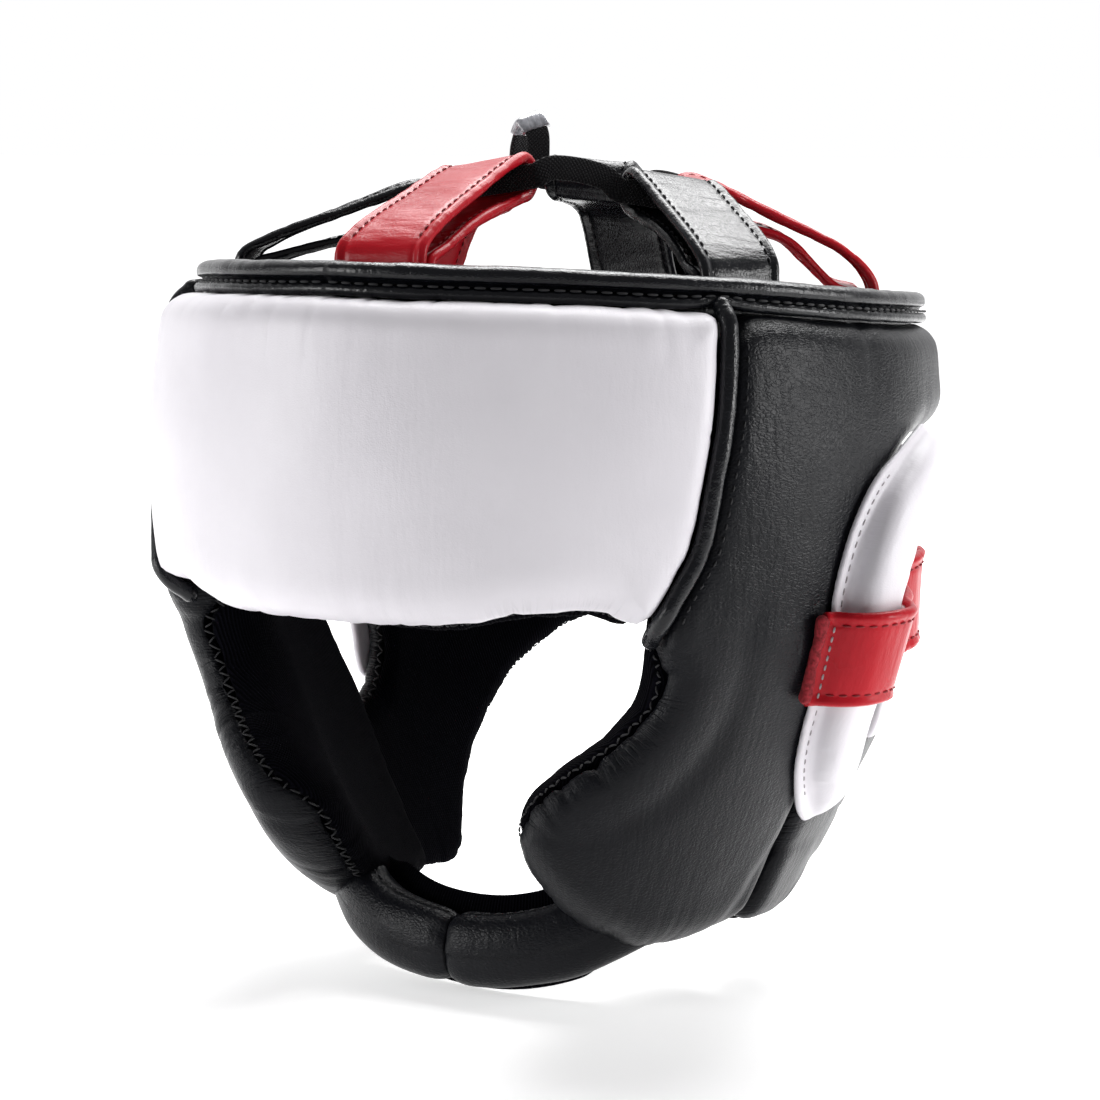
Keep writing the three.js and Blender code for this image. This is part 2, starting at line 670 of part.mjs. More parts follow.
// Half of the under-chin bar, from the middle seam into the jaw, or its whole lining
function chinCurve() {
  const right = CHIN.slice(1).map((row) => ({ ...row, x: -row.x }));
  const rows = [...right.reverse(), ...CHIN];
  return new THREE.CatmullRomCurve3(rows.map(({ x, y, z }) => new THREE.Vector3(x, y, z)));
}

function chinRoll(from, to, tall, thick, inwardShift, steps) {
  const path = chinCurve();
  const rings = spread(from, to, steps).map((share) => {
    const tangent = path.getTangentAt(share);
    const out = new THREE.Vector3(tangent.y, -tangent.x, 0).normalize();
    const up = new THREE.Vector3().crossVectors(out, tangent).normalize();
    if (up.z < 0) up.negate();
    const centre = path.getPointAt(share).addScaledVector(out, -inwardShift);
    return ringAt(centre, out, up, thick / 2, tall / 2, 10);
  });
  return loft(rings);
}

// Assembly
const headgear = new THREE.Group();
headgear.name = "sparring_headgear";

function add(name, geometry, finish) {
  const mesh = new THREE.Mesh(geometry, finish);
  mesh.name = name;
  headgear.add(mesh);
}

function addPair(name, geometry, finish) {
  add(`${name}_left`, geometry, finish);
  add(`${name}_right`, mirrorX(geometry), finish);
}

const liningFrom = PAD_THICKNESS + LINING_GAP;
const liningTo = liningFrom + LINING_THICKNESS;
const backLiningFrom = BACK_THICKNESS + LINING_GAP;

add("forehead_pad", foreheadPad(0, PAD_THICKNESS, 0, PADDED), whiteLeather);
add("forehead_lining", foreheadPad(liningFrom, liningTo, LINING_INSET, CLOTH), liningCloth);

const padClear = sidePad(-GAP, PAD_THICKNESS + GAP, -GAP, PADDED);
const sideLining = sidePad(liningFrom, liningTo, LINING_INSET, CLOTH);
addPair("side_pad", cut(sidePad(0, PAD_THICKNESS, 0, PADDED), earCutter(0)), blackLeather);
addPair("side_lining", cut(sideLining, earCutter(2), padClear), liningCloth);

add("back_panel", backPanel(0, BACK_THICKNESS, 0, THIN_PADDED), blackLeather);
const backLining = backPanel(backLiningFrom, backLiningFrom + LINING_THICKNESS, BACK_LINING_INSET, CLOTH);
add("back_lining", cut(backLining, backPanel(0, BACK_THICKNESS + GAP, 0, THIN_PADDED)), liningCloth);

addPair("front_piping", frontPiping(), blackLeather);
add("rim_binding", rimRoll(BINDING_WIDTH, BINDING_HEIGHT, BINDING_HEIGHT / 2, 8), blackLeather);
const pipingDrop = BINDING_HEIGHT + GAP + RIM_PIPING_HEIGHT / 2;
add("rim_piping", rimRoll(RIM_PIPING_WIDTH, RIM_PIPING_HEIGHT, pipingDrop, 6), blackLeather);

addPair("ear_roll_front", earRoll(EAR_ROLL_FRONT, () => 0), whiteLeather);
addPair("ear_roll_rear", earRoll(EAR_ROLL_REAR, backInset), whiteLeather);
addPair("ear_strap", earStrap(), redLeather);

const liningClear = sidePad(liningFrom - GAP, liningTo + GAP, LINING_INSET - 1, CLOTH);
const jawBlocks = [padClear, liningClear].flatMap((block) => [block, mirrorX(block)]);
const chinSeam = 0.5 + 0.002; // share of the bar's length where its left half starts
const halfBar = chinRoll(chinSeam, 1, CHIN_TALL, CHIN_THICK, 0, 10);
addPair("chin_bar", cut(halfBar, ...jawBlocks), blackLeather);
const chinLiningShift = (CHIN_THICK + CHIN_LINING_THICK) / 2 + GAP;
const chinLining = chinRoll(0, 1, CHIN_LINING_TALL, CHIN_LINING_THICK, chinLiningShift, 14);
add("chin_lining", cut(chinLining, ...jawBlocks), liningCloth);

LOOPS.forEach((loop) => {
  const finish = loop.dye === "red" ? redLeather : blackLeather;
  add(`crown_loop_${loop.name}`, crownLoop(loop), finish);
});

const lace = lacePath();
const laceSteps = 4 * LACE_POINTS_PER_LOOP * LOOPS.length;
const [laceStart, laceEnd] = [archTop("rear"), archTop("rear") + 1 - LACE_JOINT];
add("crown_lace", loft(laceRings(lace, laceStart, laceEnd, laceSteps, LACE_TALL, LACE_THICK)), laceCloth);
add("lace_tape_front", tapeSleeve(lace, "front"), clearTape);
add("lace_tape_rear", tapeSleeve(lace, "rear"), clearTape);

export default headgear;
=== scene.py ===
"""Looks of a sparring headgear: leather pads, a rolled rim, laced crown loops, ear rolls and a chin bar.

Sizes are millimetres in the object's own frame, and every mesh is written in metres.
A station is an angle round the head in degrees: 0 at the wearer's front, 90 at the left, 180 at the rear.
"""
import math

import bpy
import numpy as np
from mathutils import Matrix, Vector


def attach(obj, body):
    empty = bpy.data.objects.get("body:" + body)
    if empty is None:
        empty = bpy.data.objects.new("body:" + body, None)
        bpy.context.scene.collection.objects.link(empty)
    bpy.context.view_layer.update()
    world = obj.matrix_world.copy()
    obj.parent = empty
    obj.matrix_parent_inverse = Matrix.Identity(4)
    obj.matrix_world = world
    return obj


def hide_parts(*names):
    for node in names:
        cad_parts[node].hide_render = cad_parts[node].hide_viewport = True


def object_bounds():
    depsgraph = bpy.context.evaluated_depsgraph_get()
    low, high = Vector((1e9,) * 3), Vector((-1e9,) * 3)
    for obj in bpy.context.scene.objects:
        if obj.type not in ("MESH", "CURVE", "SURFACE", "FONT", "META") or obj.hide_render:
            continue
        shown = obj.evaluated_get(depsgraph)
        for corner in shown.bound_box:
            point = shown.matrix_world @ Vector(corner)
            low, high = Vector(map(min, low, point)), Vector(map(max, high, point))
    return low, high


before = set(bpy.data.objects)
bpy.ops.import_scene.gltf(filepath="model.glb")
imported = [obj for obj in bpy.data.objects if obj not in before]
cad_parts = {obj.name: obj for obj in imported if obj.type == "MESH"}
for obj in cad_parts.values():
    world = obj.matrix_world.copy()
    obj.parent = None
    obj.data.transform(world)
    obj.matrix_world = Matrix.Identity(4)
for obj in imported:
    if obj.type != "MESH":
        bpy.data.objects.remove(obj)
cad_low, cad_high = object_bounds()

MM = 0.001
MM_PER_DEGREE = 1.85  # width of one station degree on the shell's widest ring
UP = np.array([0.0, 0.0, 1.0])


# Tables and smooth functions

def table(columns, *rows):
    """Rows under named columns, as one array for each column."""
    return {name: np.array(values, float) for name, values in zip(columns.split(), zip(*rows))}


def through(rows, of, to):
    """A smooth function through two columns of a table, with no overshoot between its rows."""
    order = np.argsort(rows[of])
    x, y = rows[of][order], rows[to][order]
    slope = np.diff(y) / np.diff(x)
    before, after = slope[:-1], slope[1:]
    same = before * after > 0
    inner = np.zeros(len(before))
    inner[same] = 2 * before[same] * after[same] / (before[same] + after[same])
    tangent = np.concatenate([slope[:1], inner, slope[-1:]])

    def value(at):
        at = np.clip(np.asarray(at, float), x[0], x[-1])
        i = np.clip(np.searchsorted(x, at, side="right") - 1, 0, len(x) - 2)
        step = x[i + 1] - x[i]
        t = (at - x[i]) / step
        ends = (2 * t**3 - 3 * t**2 + 1) * y[i] + (3 * t**2 - 2 * t**3) * y[i + 1]
        lean = (t**3 - 2 * t**2 + t) * tangent[i] + (t**3 - t**2) * tangent[i + 1]
        return ends + lean * step

    return value


def smoothstep(value, low, high):
    share = np.clip((np.asarray(value, float) - low) / (high - low), 0, 1)
    return share * share * (3 - 2 * share)


def unit(vectors):
    return vectors / np.maximum(np.linalg.norm(vectors, axis=-1, keepdims=True), 1e-9)


def smooth_max(a, b, blend):
    share = np.clip(0.5 + 0.5 * (a - b) / blend, 0, 1)
    return b + (a - b) * share + blend * share * (1 - share)


def noise(points, size, seed):
    """Smooth noise from -1 to 1 with features of about that size, at rows of one to three columns."""
    points = np.asarray(points, float)
    points = points[:, None] if points.ndim == 1 else points
    lattice = np.random.default_rng(seed).uniform(-1, 1, 4096)
    place = points / size + 100
    cell = np.floor(place).astype(np.int64)
    share = place - cell
    share = share * share * (3 - 2 * share)
    total = np.zeros(len(points))
    primes = np.array([73, 179, 283])[: points.shape[1]]
    for corner in np.ndindex(*(2,) * points.shape[1]):
        corner = np.array(corner)
        weight = np.prod(np.where(corner, share, 1 - share), axis=1)
        total += weight * lattice[((cell + corner) * primes).sum(axis=1) ** 2 % 4093]
    return total


# Sizes

PAD = 28.4  # foam, leather and lining of the forehead and side pads
BACK = 13.4  # thinner panel behind the ears
RIM_HEIGHT = 8.9  # from the rim's top to the pads' top edge
LOOP_WIDTH = 27
LOOP_FOOT_DROP = 3.4  # from the rim's top to the loops' ends, inside the binding
LOOP_SEAT = 9.1  # from the rim's middle line in to the loops' ends
LOOP_LEATHER = 1.9
LOOP_FOLD_RADIUS = 5.4
LACE_TALL = 6.8
LACE_THICK = 1.7
EAR_STRAP_HEIGHT = 27
EAR_STRAP_MID = -96
PIPING_RADIUS = 2.4
SEAM_CLEAR = 2.2  # from the middle of the front seam to each pad
ARM_END = 121  # station where a side pad's upper arm meets the back panel
ARM_BOTTOM = -43

SHELL = table(
    "z half_width front_depth rear_depth",
    (14, 98, 117, 119),
    (-8, 104, 121, 120),
    (-45, 108, 125, 119),
    (-85, 106, 122, 114),
    (-120, 94, 110, 106),
    (-150, 81, 96, 103),
    (-175, 68, 80, 92),
    (-200, 54, 62, 74),
)
RIM = table(
    "station z inset",
    (0, 8.5, 15),
    (35, 7, 14),
    (60, 4.5, 10),
    (90, -0.5, 6),
    (118, -4, 6.5),
    (130, -5, 11),
    (150, -6, 14),
    (180, -7, 14.5),
)
FRONT_SEAM = table(
    "z station",
    (-98, 51.3), (-86, 50.5), (-64, 55.8), (-46, 57.8), (-26, 59.8), (10, 61.8),
)
BROW = table("station z", (0, -84), (20, -84), (34, -80), (42, -80), (49, -85))
EYE_NOTCH = table(
    "station z",
    (52, -106.5), (46.4, -117), (39.5, -124), (33.6, -131), (31, -137.5), (30.4, -142),
)
JAW = table(
    "station z",
    (30.4, -146), (31.2, -150), (33.5, -157), (38, -165), (44, -172), (56, -181), (72, -181.5),
    (87.6, -179),
)
EAR_SLOT = table(
    "station z",
    (87.6, -121), (87, -117), (85.5, -102), (85.5, -84), (87, -66), (90, -55), (95, -47),
    (101, ARM_BOTTOM),
)
BACK_FRONT = table(
    "station z",
    (89.2, -136), (96, -134), (102, -130), (105.9, -119), (107.4, -100), (107.9, -62), (108.3, -45),
)
BACK_BOTTOM = table(
    "station z",
    (89.2, -179), (100, -181.5), (107, -182), (110.5, -179), (113, -171), (116, -161), (120, -151),
    (126, -141), (134, -128), (146, -115), (162, -106), (180, -103),
)
BACK_INSET = table(
    "z depth", (-170, 0), (-145, 1.2), (-128, 1.2), (-112, 3), (-95, 8), (-80, 10), (-55, 10.5), (0, 9)
)
EAR_ROLL_FRONT = table(
    "station z width height",
    (98.4, -40.5, 9, 5.5),
    (91.2, -48, 12, 8),
    (86.5, -57, 17.5, 9.5),
    (83.3, -70, 20, 10.5),
    (81.3, -85, 19, 10.5),
    (81.7, -104, 20, 10.5),
    (83, -122, 20, 10.5),
    (86.6, -136, 17, 9),
    (89.9, -145, 9, 5),
)
EAR_ROLL_REAR = table(
    "station z width height",
    (106, -52, 7, 3),
    (108, -63, 12, 4),
    (108.5, -82, 13, 4.2),
    (108.5, -98, 13, 3),
    (108, -112, 12, 2),
    (106, -124, 7, 1.6),
    (105, -128, 3.5, 1.2),
)
EAR_STRAP = table(
    "station lift rise",
    (74.4, 1.9, 0),
    (75.6, 3, 0),
    (76.6, 7.5, 0),
    (78.8, 11.8, 0),
    (81.5, 13.1, 0),
    (84.5, 12.8, 0),
    (87.2, 9.5, 0),
    (89.6, 5, 0.5),
    (93, 3, 1.5),
    (97, 3, 3.5),
    (100.5, 4, 5),
    (103.5, 5.6, 6.5),
    (106, 6.8, 7),
    (108.5, 7, 7.5),
    (111, 6.2, 8),
    (113, 3.4, 8),
    (115, 1.9, 8),
)
LOOP_NAMES = ("front", "left_front", "left_rear", "rear", "right_rear", "right_front")
LOOPS = table(
    "station lace radius lace_z tilt spring red",
    (5, 3, 46, 27, 4, 3.4, 1),
    (70, 70, 48, 23, -4, 0, 0),
    (123, 118, 38, 22, 2, 2, 1),
    (197, 197, 31, 27, 2, 19, 0),
    (246, 249, 49, 23, -2, 0, 1),
    (298, 302, 42, 21, 0, 2, 0),
)
CROWN_CENTRE_Y = 6
CHIN = table("x y z", (0, -51, -184), (18, -49.5, -182.5), (34, -44, -178), (50, -33, -168.5))
CHIN_HALF_DEEP = 7.5
CHIN_HALF_TALL = 10.5
CHIN_MEAN_RADIUS = 9
CHIN_PINCH = 7  # reach of the narrowing at the bar's middle seam

half_width = through(SHELL, "z", "half_width")
front_depth = through(SHELL, "z", "front_depth")
rear_depth = through(SHELL, "z", "rear_depth")
rim_z = through(RIM, "station", "z")
rim_inset = through(RIM, "station", "inset")
seam_station = through(FRONT_SEAM, "z", "station")
back_inset = through(BACK_INSET, "z", "depth")
brow_z = through(BROW, "station", "z")


def near_side(station):
    """The same station on the wearer's left, where the tables are."""
    station = np.asarray(station, float) % 360
    return np.where(station > 180, 360 - station, station)


def shell_point(station, z, depth):
    """Points of the shell, a given depth inside its face."""
    angle = np.radians(station)
    reach = np.where(np.cos(angle) > 0, front_depth(z), rear_depth(z))
    x = (half_width(z) - depth) * np.sin(angle)
    y = -(reach - depth) * np.cos(angle)
    return np.stack(np.broadcast_arrays(x, y, z), axis=-1)


def unrolled_point(width, z, depth, wall, side):
    """Points of the shell from unrolled widths, inside a panel's own wall, on the left (1) or right (-1)."""
    return shell_point(width / MM_PER_DEGREE, z, depth + wall(z)) * [side, 1, 1]


def spline(points, count, closed=False):
    """Points evenly spaced on a centripetal Catmull-Rom curve."""
    points = np.asarray(points, float)
    if closed:
        line = np.concatenate([points[-1:], points, points[:2]])
    else:
        line = np.concatenate([2 * points[:1] - points[1:2], points, 2 * points[-1:] - points[-2:-1]])
    share = np.linspace(0, 1, 24, endpoint=False)[:, None]
    dense = []
    for p0, p1, p2, p3 in zip(line[:-3], line[1:-2], line[2:-1], line[3:]):
        k0, k1, k2 = (np.sqrt(max(np.linalg.norm(b - a), 1e-6)) for a, b in ((p0, p1), (p1, p2), (p2, p3)))
        m1 = ((p1 - p0) / k0 - (p2 - p0) / (k0 + k1) + (p2 - p1) / k1) * k1
        m2 = ((p2 - p1) / k1 - (p3 - p1) / (k1 + k2) + (p3 - p2) / k2) * k1
        a, b = 2 * p1 - 2 * p2 + m1 + m2, -3 * p1 + 3 * p2 - 2 * m1 - m2
        dense.append(((a * share + b) * share + m1) * share + p1)
    dense.append(points[:1] if closed else points[-1:])
    return evenly(np.concatenate(dense), count, closed)


def evenly(line, count, closed=False):
    """A polyline's points spaced evenly along its length; a closed one leaves out the repeated last point."""
    length = np.concatenate([[0], np.cumsum(np.linalg.norm(np.diff(line, axis=0), axis=1))])
    at = np.linspace(0, length[-1], count, endpoint=not closed)
    return np.stack([np.interp(at, length, column) for column in line.T], axis=1)


def tangents(line, closed=False):
    if closed:
        return unit(np.roll(line, -1, axis=0) - np.roll(line, 1, axis=0))
    return unit(np.gradient(line, axis=0))


# Meshes

def add_mesh(name, vertices, faces, surface, material, seam=None):
    """A smooth mesh in the object's frame.

    surface gives each vertex its place on the leather, and seam its length along the nearest seam and its
    distance from that seam, all in millimetres.
    """
    mesh = bpy.data.meshes.new(name)
    mesh.from_pydata((np.asarray(vertices) * MM).tolist(), [], [list(map(int, face)) for face in faces])
    mesh.shade_smooth()
    corner = np.zeros(len(mesh.loops), np.int32)
    mesh.loops.foreach_get("vertex_index", corner)
    far_from_seams = np.tile((0.0, 99.0), (len(vertices), 1))
    for layer, places in (("surface", surface), ("seam", far_from_seams if seam is None else seam)):
        data = mesh.uv_layers.new(name=layer).data
        data.foreach_set("uv", np.asarray(places, np.float32)[corner].ravel())
    piece = bpy.data.objects.new(name, mesh)
    bpy.context.scene.collection.objects.link(piece)
    mesh.materials.append(material)
    return piece


def settle(piece, slot, *nodes, fill=None):
    """The piece rides on the object and stands for its nodes; its slot is not used."""
    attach(piece, "root")
    if nodes:
        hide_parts(*nodes)
    return piece


def surface_net(field, axes):
    """Vertices and quads round the part of a grid where a field is negative."""
    step = [axis[1] - axis[0] for axis in axes]
    start = np.array([axis[0] for axis in axes])
    inside = field < 0
    cells = tuple(n - 1 for n in field.shape)
    total = np.zeros(cells + (3,))
    count = np.zeros(cells)
    quads = []
    crossings = []
    for axis in range(3):
        low = [slice(None)] * 3
        high = [slice(None)] * 3
        low[axis], high[axis] = slice(None, -1), slice(1, None)
        low, high = tuple(low), tuple(high)
        cross = inside[low] != inside[high]
        gap = np.where(cross, field[low] - field[high], 1)
        counts = [np.arange(n) for n in cross.shape]
        where = np.stack(np.meshgrid(*counts, indexing="ij"), axis=-1).astype(float)
        where[..., axis] += np.where(cross, field[low] / gap, 0)
        others = [a for a in range(3) if a != axis]
        for shift in np.ndindex(2, 2):
            part = [slice(None)] * 3
            for a, s in zip(others, shift):
                part[a] = slice(s, cells[a] + s)
            part = tuple(part)
            total += where[part] * cross[part][..., None]
            count += cross[part]
        crossings.append((axis, others, cross, inside[low]))
    mixed = count > 0
    index = np.full(cells, -1)
    index[mixed] = np.arange(mixed.sum())
    for axis, others, cross, first in crossings:
        core = [slice(None)] * 3
        for a in others:
            core[a] = slice(1, -1)
        offset = np.zeros(3, int)
        offset[others] = 1
        place = np.argwhere(cross[tuple(core)]) + offset
        outward = first[tuple(place.T)]
        ring = []
        for shift in ((1, 1), (0, 1), (0, 0), (1, 0)):
            cell = place.copy()
            cell[:, others[0]] -= shift[0]
            cell[:, others[1]] -= shift[1]
            ring.append(index[tuple(cell.T)])
        ring = np.stack(ring, axis=1)
        turn = outward if axis != 1 else ~outward
        quads.append(np.where(turn[:, None], ring, ring[:, ::-1]))
    vertices = total[mixed] / count[mixed][:, None] * step + start
    return vertices, np.concatenate(quads)


def relax(vertices, quads, rounds, pull=0.5):
    """Evens out a net by drawing each vertex towards its neighbours."""
    edges = np.concatenate([quads[:, [i, (i + 1) % 4]] for i in range(4)])
    edges = np.unique(np.sort(edges, axis=1), axis=0)
    degree = np.bincount(edges.ravel(), minlength=len(vertices))[:, None]
    for _ in range(rounds):
        total = np.zeros_like(vertices)
        np.add.at(total, edges[:, 0], vertices[edges[:, 1]])
        np.add.at(total, edges[:, 1], vertices[edges[:, 0]])
        vertices = vertices + pull * (total / degree - vertices)
    return vertices


def normals(vertices, quads):
    a, b, c, d = (vertices[quads[:, corner]] for corner in range(4))
    face = np.cross(c - a, d - b)
    total = np.zeros_like(vertices)
    for corner in range(4):
        np.add.at(total, quads[:, corner], face)
    return unit(total)


class Outline:
    """A closed edge on the shell, unrolled to millimetres of width and height."""

    FINE = 0.5  # spacing at which the corners are rounded
    BATCH = 3000  # points measured at a time

    def __init__(self, points, rounding, spacing=2.0):
        points = np.asarray(points, float)
        closed = np.concatenate([points, points[:1]])
        length = np.linalg.norm(np.diff(closed, axis=0), axis=1).sum()
        line = evenly(closed, int(length / self.FINE), closed=True)
        reach = int(3 * rounding / self.FINE)
        kernel = np.exp(-0.5 * (np.arange(-reach, reach + 1) * self.FINE / rounding) ** 2)
        kernel /= kernel.sum()
        padded = np.concatenate([line[-reach:], line, line[:reach]])
        line = np.stack([np.convolve(column, kernel, mode="valid") for column in padded.T], axis=1)
        self.line = evenly(np.concatenate([line, line[:1]]), int(length / spacing), closed=True)
        self.next = np.roll(self.line, -1, axis=0)
        self.along = self.next - self.line
        self.squared = (self.along**2).sum(axis=1)
        self.arc = np.concatenate([[0], np.cumsum(np.sqrt(self.squared))])
        turned = (self.line[:, 0] * self.next[:, 1] - self.next[:, 0] * self.line[:, 1]).sum()
        along = tangents(self.line, closed=True)
        self.inward = np.sign(turned) * np.stack([-along[:, 1], along[:, 0]], axis=1)

    def between(self, values, arc):
        """Values given at the edge's points, at lengths along the edge."""
        values = np.concatenate([values, values[:1]])
        if values.ndim == 1:
            return np.interp(arc, self.arc, values)
        return np.stack([np.interp(arc, self.arc, column) for column in values.T], axis=-1)

    def nearest(self, points):
        """Distance to the edge, negative inside, and the length along the edge to the nearest point."""
        distance, arc = np.zeros(len(points)), np.zeros(len(points))
        for start in range(0, len(points), self.BATCH):
            batch = slice(start, start + self.BATCH)
            part = points[batch]
            offset = part[:, None] - self.line
            share = np.clip((offset * self.along).sum(axis=2) / self.squared, 0, 1)
            far = ((offset - share[..., None] * self.along) ** 2).sum(axis=2)
            best = far.argmin(axis=1)
            row = np.arange(len(part))
            above = self.line[:, 1] > part[:, None, 1]
            crossing = above != (self.next[:, 1] > part[:, None, 1])
            rise = np.where(self.along[:, 1] == 0, 1, self.along[:, 1])
            cut = self.line[:, 0] + self.along[:, 0] * (part[:, None, 1] - self.line[:, 1]) / rise
            inside = (crossing & (part[:, None, 0] < cut)).sum(axis=1) % 2 == 1
            root = np.sqrt(far[row, best])
            distance[batch] = np.where(inside, -root, root)
            arc[batch] = self.arc[best] + share[row, best] * np.sqrt(self.squared[best])
        return distance, arc

    def points(self, pitch):
        """Points every pitch along the edge, the directions to its inside and the lengths along it."""
        arc = np.linspace(0, self.arc[-1], int(self.arc[-1] / pitch), endpoint=False)
        return self.between(self.line, arc), unit(self.between(self.inward, arc)), arc


def rounded_slab(edge, face, radius):
    """Distance to a slab with rounded edges, from the distances past its outline and past its faces."""
    edge, face = edge + radius, face + radius
    corner = np.hypot(np.maximum(edge, 0), np.maximum(face, 0))
    return corner + np.minimum(np.maximum(edge, face), 0) - radius


class Pad:
    """A padded panel on the shell: an outline, a thickness and rounded edges.

    radius, seam and puff are functions of width and height along the outline: the edge radius of the outer
    face, the depth of the seam between leather and lining, and how far the lining swells past the leather.
    """

    def __init__(self, outline, thickness, radius, inner_radius, seam, puff, wall=lambda z: 0 * z):
        self.outline, self.thickness, self.inner_radius, self.wall = outline, thickness, inner_radius, wall
        self.radius, self.seam, self.puff = (self.round_edge(of) for of in (radius, seam, puff))

    def round_edge(self, of):
        """A function of width and height, as a smoothed function of the length along the outline."""
        values = of(*self.outline.line.T)
        for _ in range(4):
            values = (np.roll(values, 1) + 2 * values + np.roll(values, -1)) / 4
        return lambda arc: self.outline.between(values, arc)

    def field(self, distance, arc, depth):
        middle = self.thickness / 2
        radius = np.where(depth < middle, self.radius(arc), self.inner_radius)
        return rounded_slab(distance, np.abs(depth - middle) - middle, radius)

    def net(self, part, voxel):
        """Vertices as (width, height, depth) and quads of one part of the pad."""
        low, high = self.outline.line.min(axis=0) - 8, self.outline.line.max(axis=0) + 8
        width, height = (np.arange(a, b, voxel) for a, b in zip(low, high))
        depth = np.arange(-3, self.thickness + 4, voxel)
        grid = np.stack(np.meshgrid(width, height, indexing="ij"), axis=-1)
        edge = self.outline.nearest(grid.reshape(-1, 2))
        distance, arc = (values.reshape(len(width), len(height), 1) for values in edge)
        vertices, quads = surface_net(part(distance, arc, depth[None, None, :]), (width, height, depth))
        return relax(vertices, quads, 3), quads

    def leather(self, distance, arc, depth):
        return smooth_max(self.field(distance, arc, depth), depth - self.seam(arc) + 0.25, 1.6)

    def lining(self, distance, arc, depth):
        beyond = depth - self.seam(arc)
        swell = self.puff(arc) * smoothstep(beyond, -1, 4)
        swell = swell * smoothstep(depth, self.thickness, self.thickness - 9)
        return smooth_max(self.field(distance - swell, arc, depth) - 0.2, 0.25 - beyond, 1.6)

    def face_depth(self, points):
        """Depth of the outer face at places inside the outline."""
        distance, arc = self.outline.nearest(points)
        radius = self.radius(arc)
        reach = np.clip(radius + distance, 0, radius)
        return radius - np.sqrt(np.maximum(radius**2 - reach**2, 0))

    def place(self, points, side=1):
        return unrolled_point(*points.T, self.wall, side)

    def surface(self, width, height, lift, side=1):
        """Points and outward normals on the outer face, lifted off it."""
        points = np.stack([width, height], axis=1)
        probe = []
        for shift in ((0, 0), (0.5, 0), (0, 0.5)):
            moved = points + shift
            probe.append(self.place(np.column_stack([moved, self.face_depth(moved)]), side))
        out = unit(np.cross(probe[1] - probe[0], probe[2] - probe[0])) * side
        return probe[0] + lift * out, out


def pucker(arc, reach, pitch, seed):
    """Irregular creases across a seam, from 0 to 1, that fade with the distance from it."""
    fold = np.clip(1 - np.abs(noise(arc, pitch, seed)) / 0.45, 0, 1)
    small = np.clip(noise(arc, 0.5 * pitch, seed + 1), 0, 1)
    length = 7 + 6 * noise(arc, 2.2 * pitch, seed + 2)
    return (fold + 0.5 * small) * np.exp(-reach / np.maximum(length, 2))


def pad_piece(name, pad, voxel, material, part, seed, side=1, edge_depth=0.9, swell=0.35, creases=()):
    """One leather or lining part of a pad, with its puckers, creases and slow unevenness."""
    points, quads = pad.net(pad.leather if part == "leather" else pad.lining, voxel)
    distance, arc = pad.outline.nearest(points[:, :2])
    world = pad.place(points, side)
    quads = quads[:, ::-1] if side > 0 else quads
    out = normals(world, quads)
    reach = np.hypot(np.minimum(distance, 0), 0.8 * (points[:, 2] - pad.seam(arc)))
    sink = edge_depth * pucker(arc, np.maximum(reach - 2, 0), 6.5, seed)
    sink += swell * noise(world, 28, seed + 5) + 0.35 * swell * noise(world, 9, seed + 6)
    for crease in creases:
        sink += crease(points, distance)
    world = world - sink[:, None] * out
    turned = points[:, 2] if part == "leather" else pad.thickness - points[:, 2]
    surface = points[:, :2] - pad.outline.between(pad.outline.inward, arc) * turned[:, None]
    return add_mesh(name, world, quads, surface, material, np.column_stack([arc, reach]))


def crease_line(start, end, depth, width):
    """A soft fold in the outer face from one (station, z) to another."""
    scale = np.array([MM_PER_DEGREE, 1])
    start, end = np.array(start) * scale, np.array(end) * scale
    along = end - start

    def sink(points, _):
        share = np.clip(((points[:, :2] - start) @ along) / (along @ along), 0, 1)
        wander = 1.2 * noise(share * 40, 9, int(abs(start[0] * 7)))
        normal = unit(np.array([-along[1], along[0]]))
        away = points[:, :2] - start - share[:, None] * along
        beyond = np.linalg.norm(away, axis=1)
        off = np.maximum(np.abs(away @ normal - wander), beyond - np.abs(wander) - 0.2)
        fade = np.sin(np.pi * np.clip(share, 0.02, 0.98)) ** 0.6
        on_face = smoothstep(points[:, 2], 16, 8)
        valley = np.exp(-((off / width) ** 2))
        banks = 0.35 * np.exp(-((off / (2.6 * width)) ** 2))
        return depth * fade * on_face * (valley - banks)

    return sink


def ear_swell(points, _):
    """Fuller padding in the back panel below the ear strap."""
    near = near_side(points[:, 0] / MM_PER_DEGREE)
    spot = np.exp(-(((near - 116) / 10) ** 2) - ((points[:, 1] + 118) / 22) ** 2)
    return -2 * spot * smoothstep(points[:, 2], 9, 3)


def notch_hollow(points, distance):
    """Soft hollow in the cheek, along the eye notch."""
    station, z = points[:, 0] / MM_PER_DEGREE, points[:, 1]
    beside = smoothstep(station, 68, 60) * smoothstep(z, -148, -132) * smoothstep(z, -66, -84)
    return 1.1 * beside * smoothstep(points[:, 2], 16, 8) * np.exp(-(((distance + 22) / 5) ** 2))


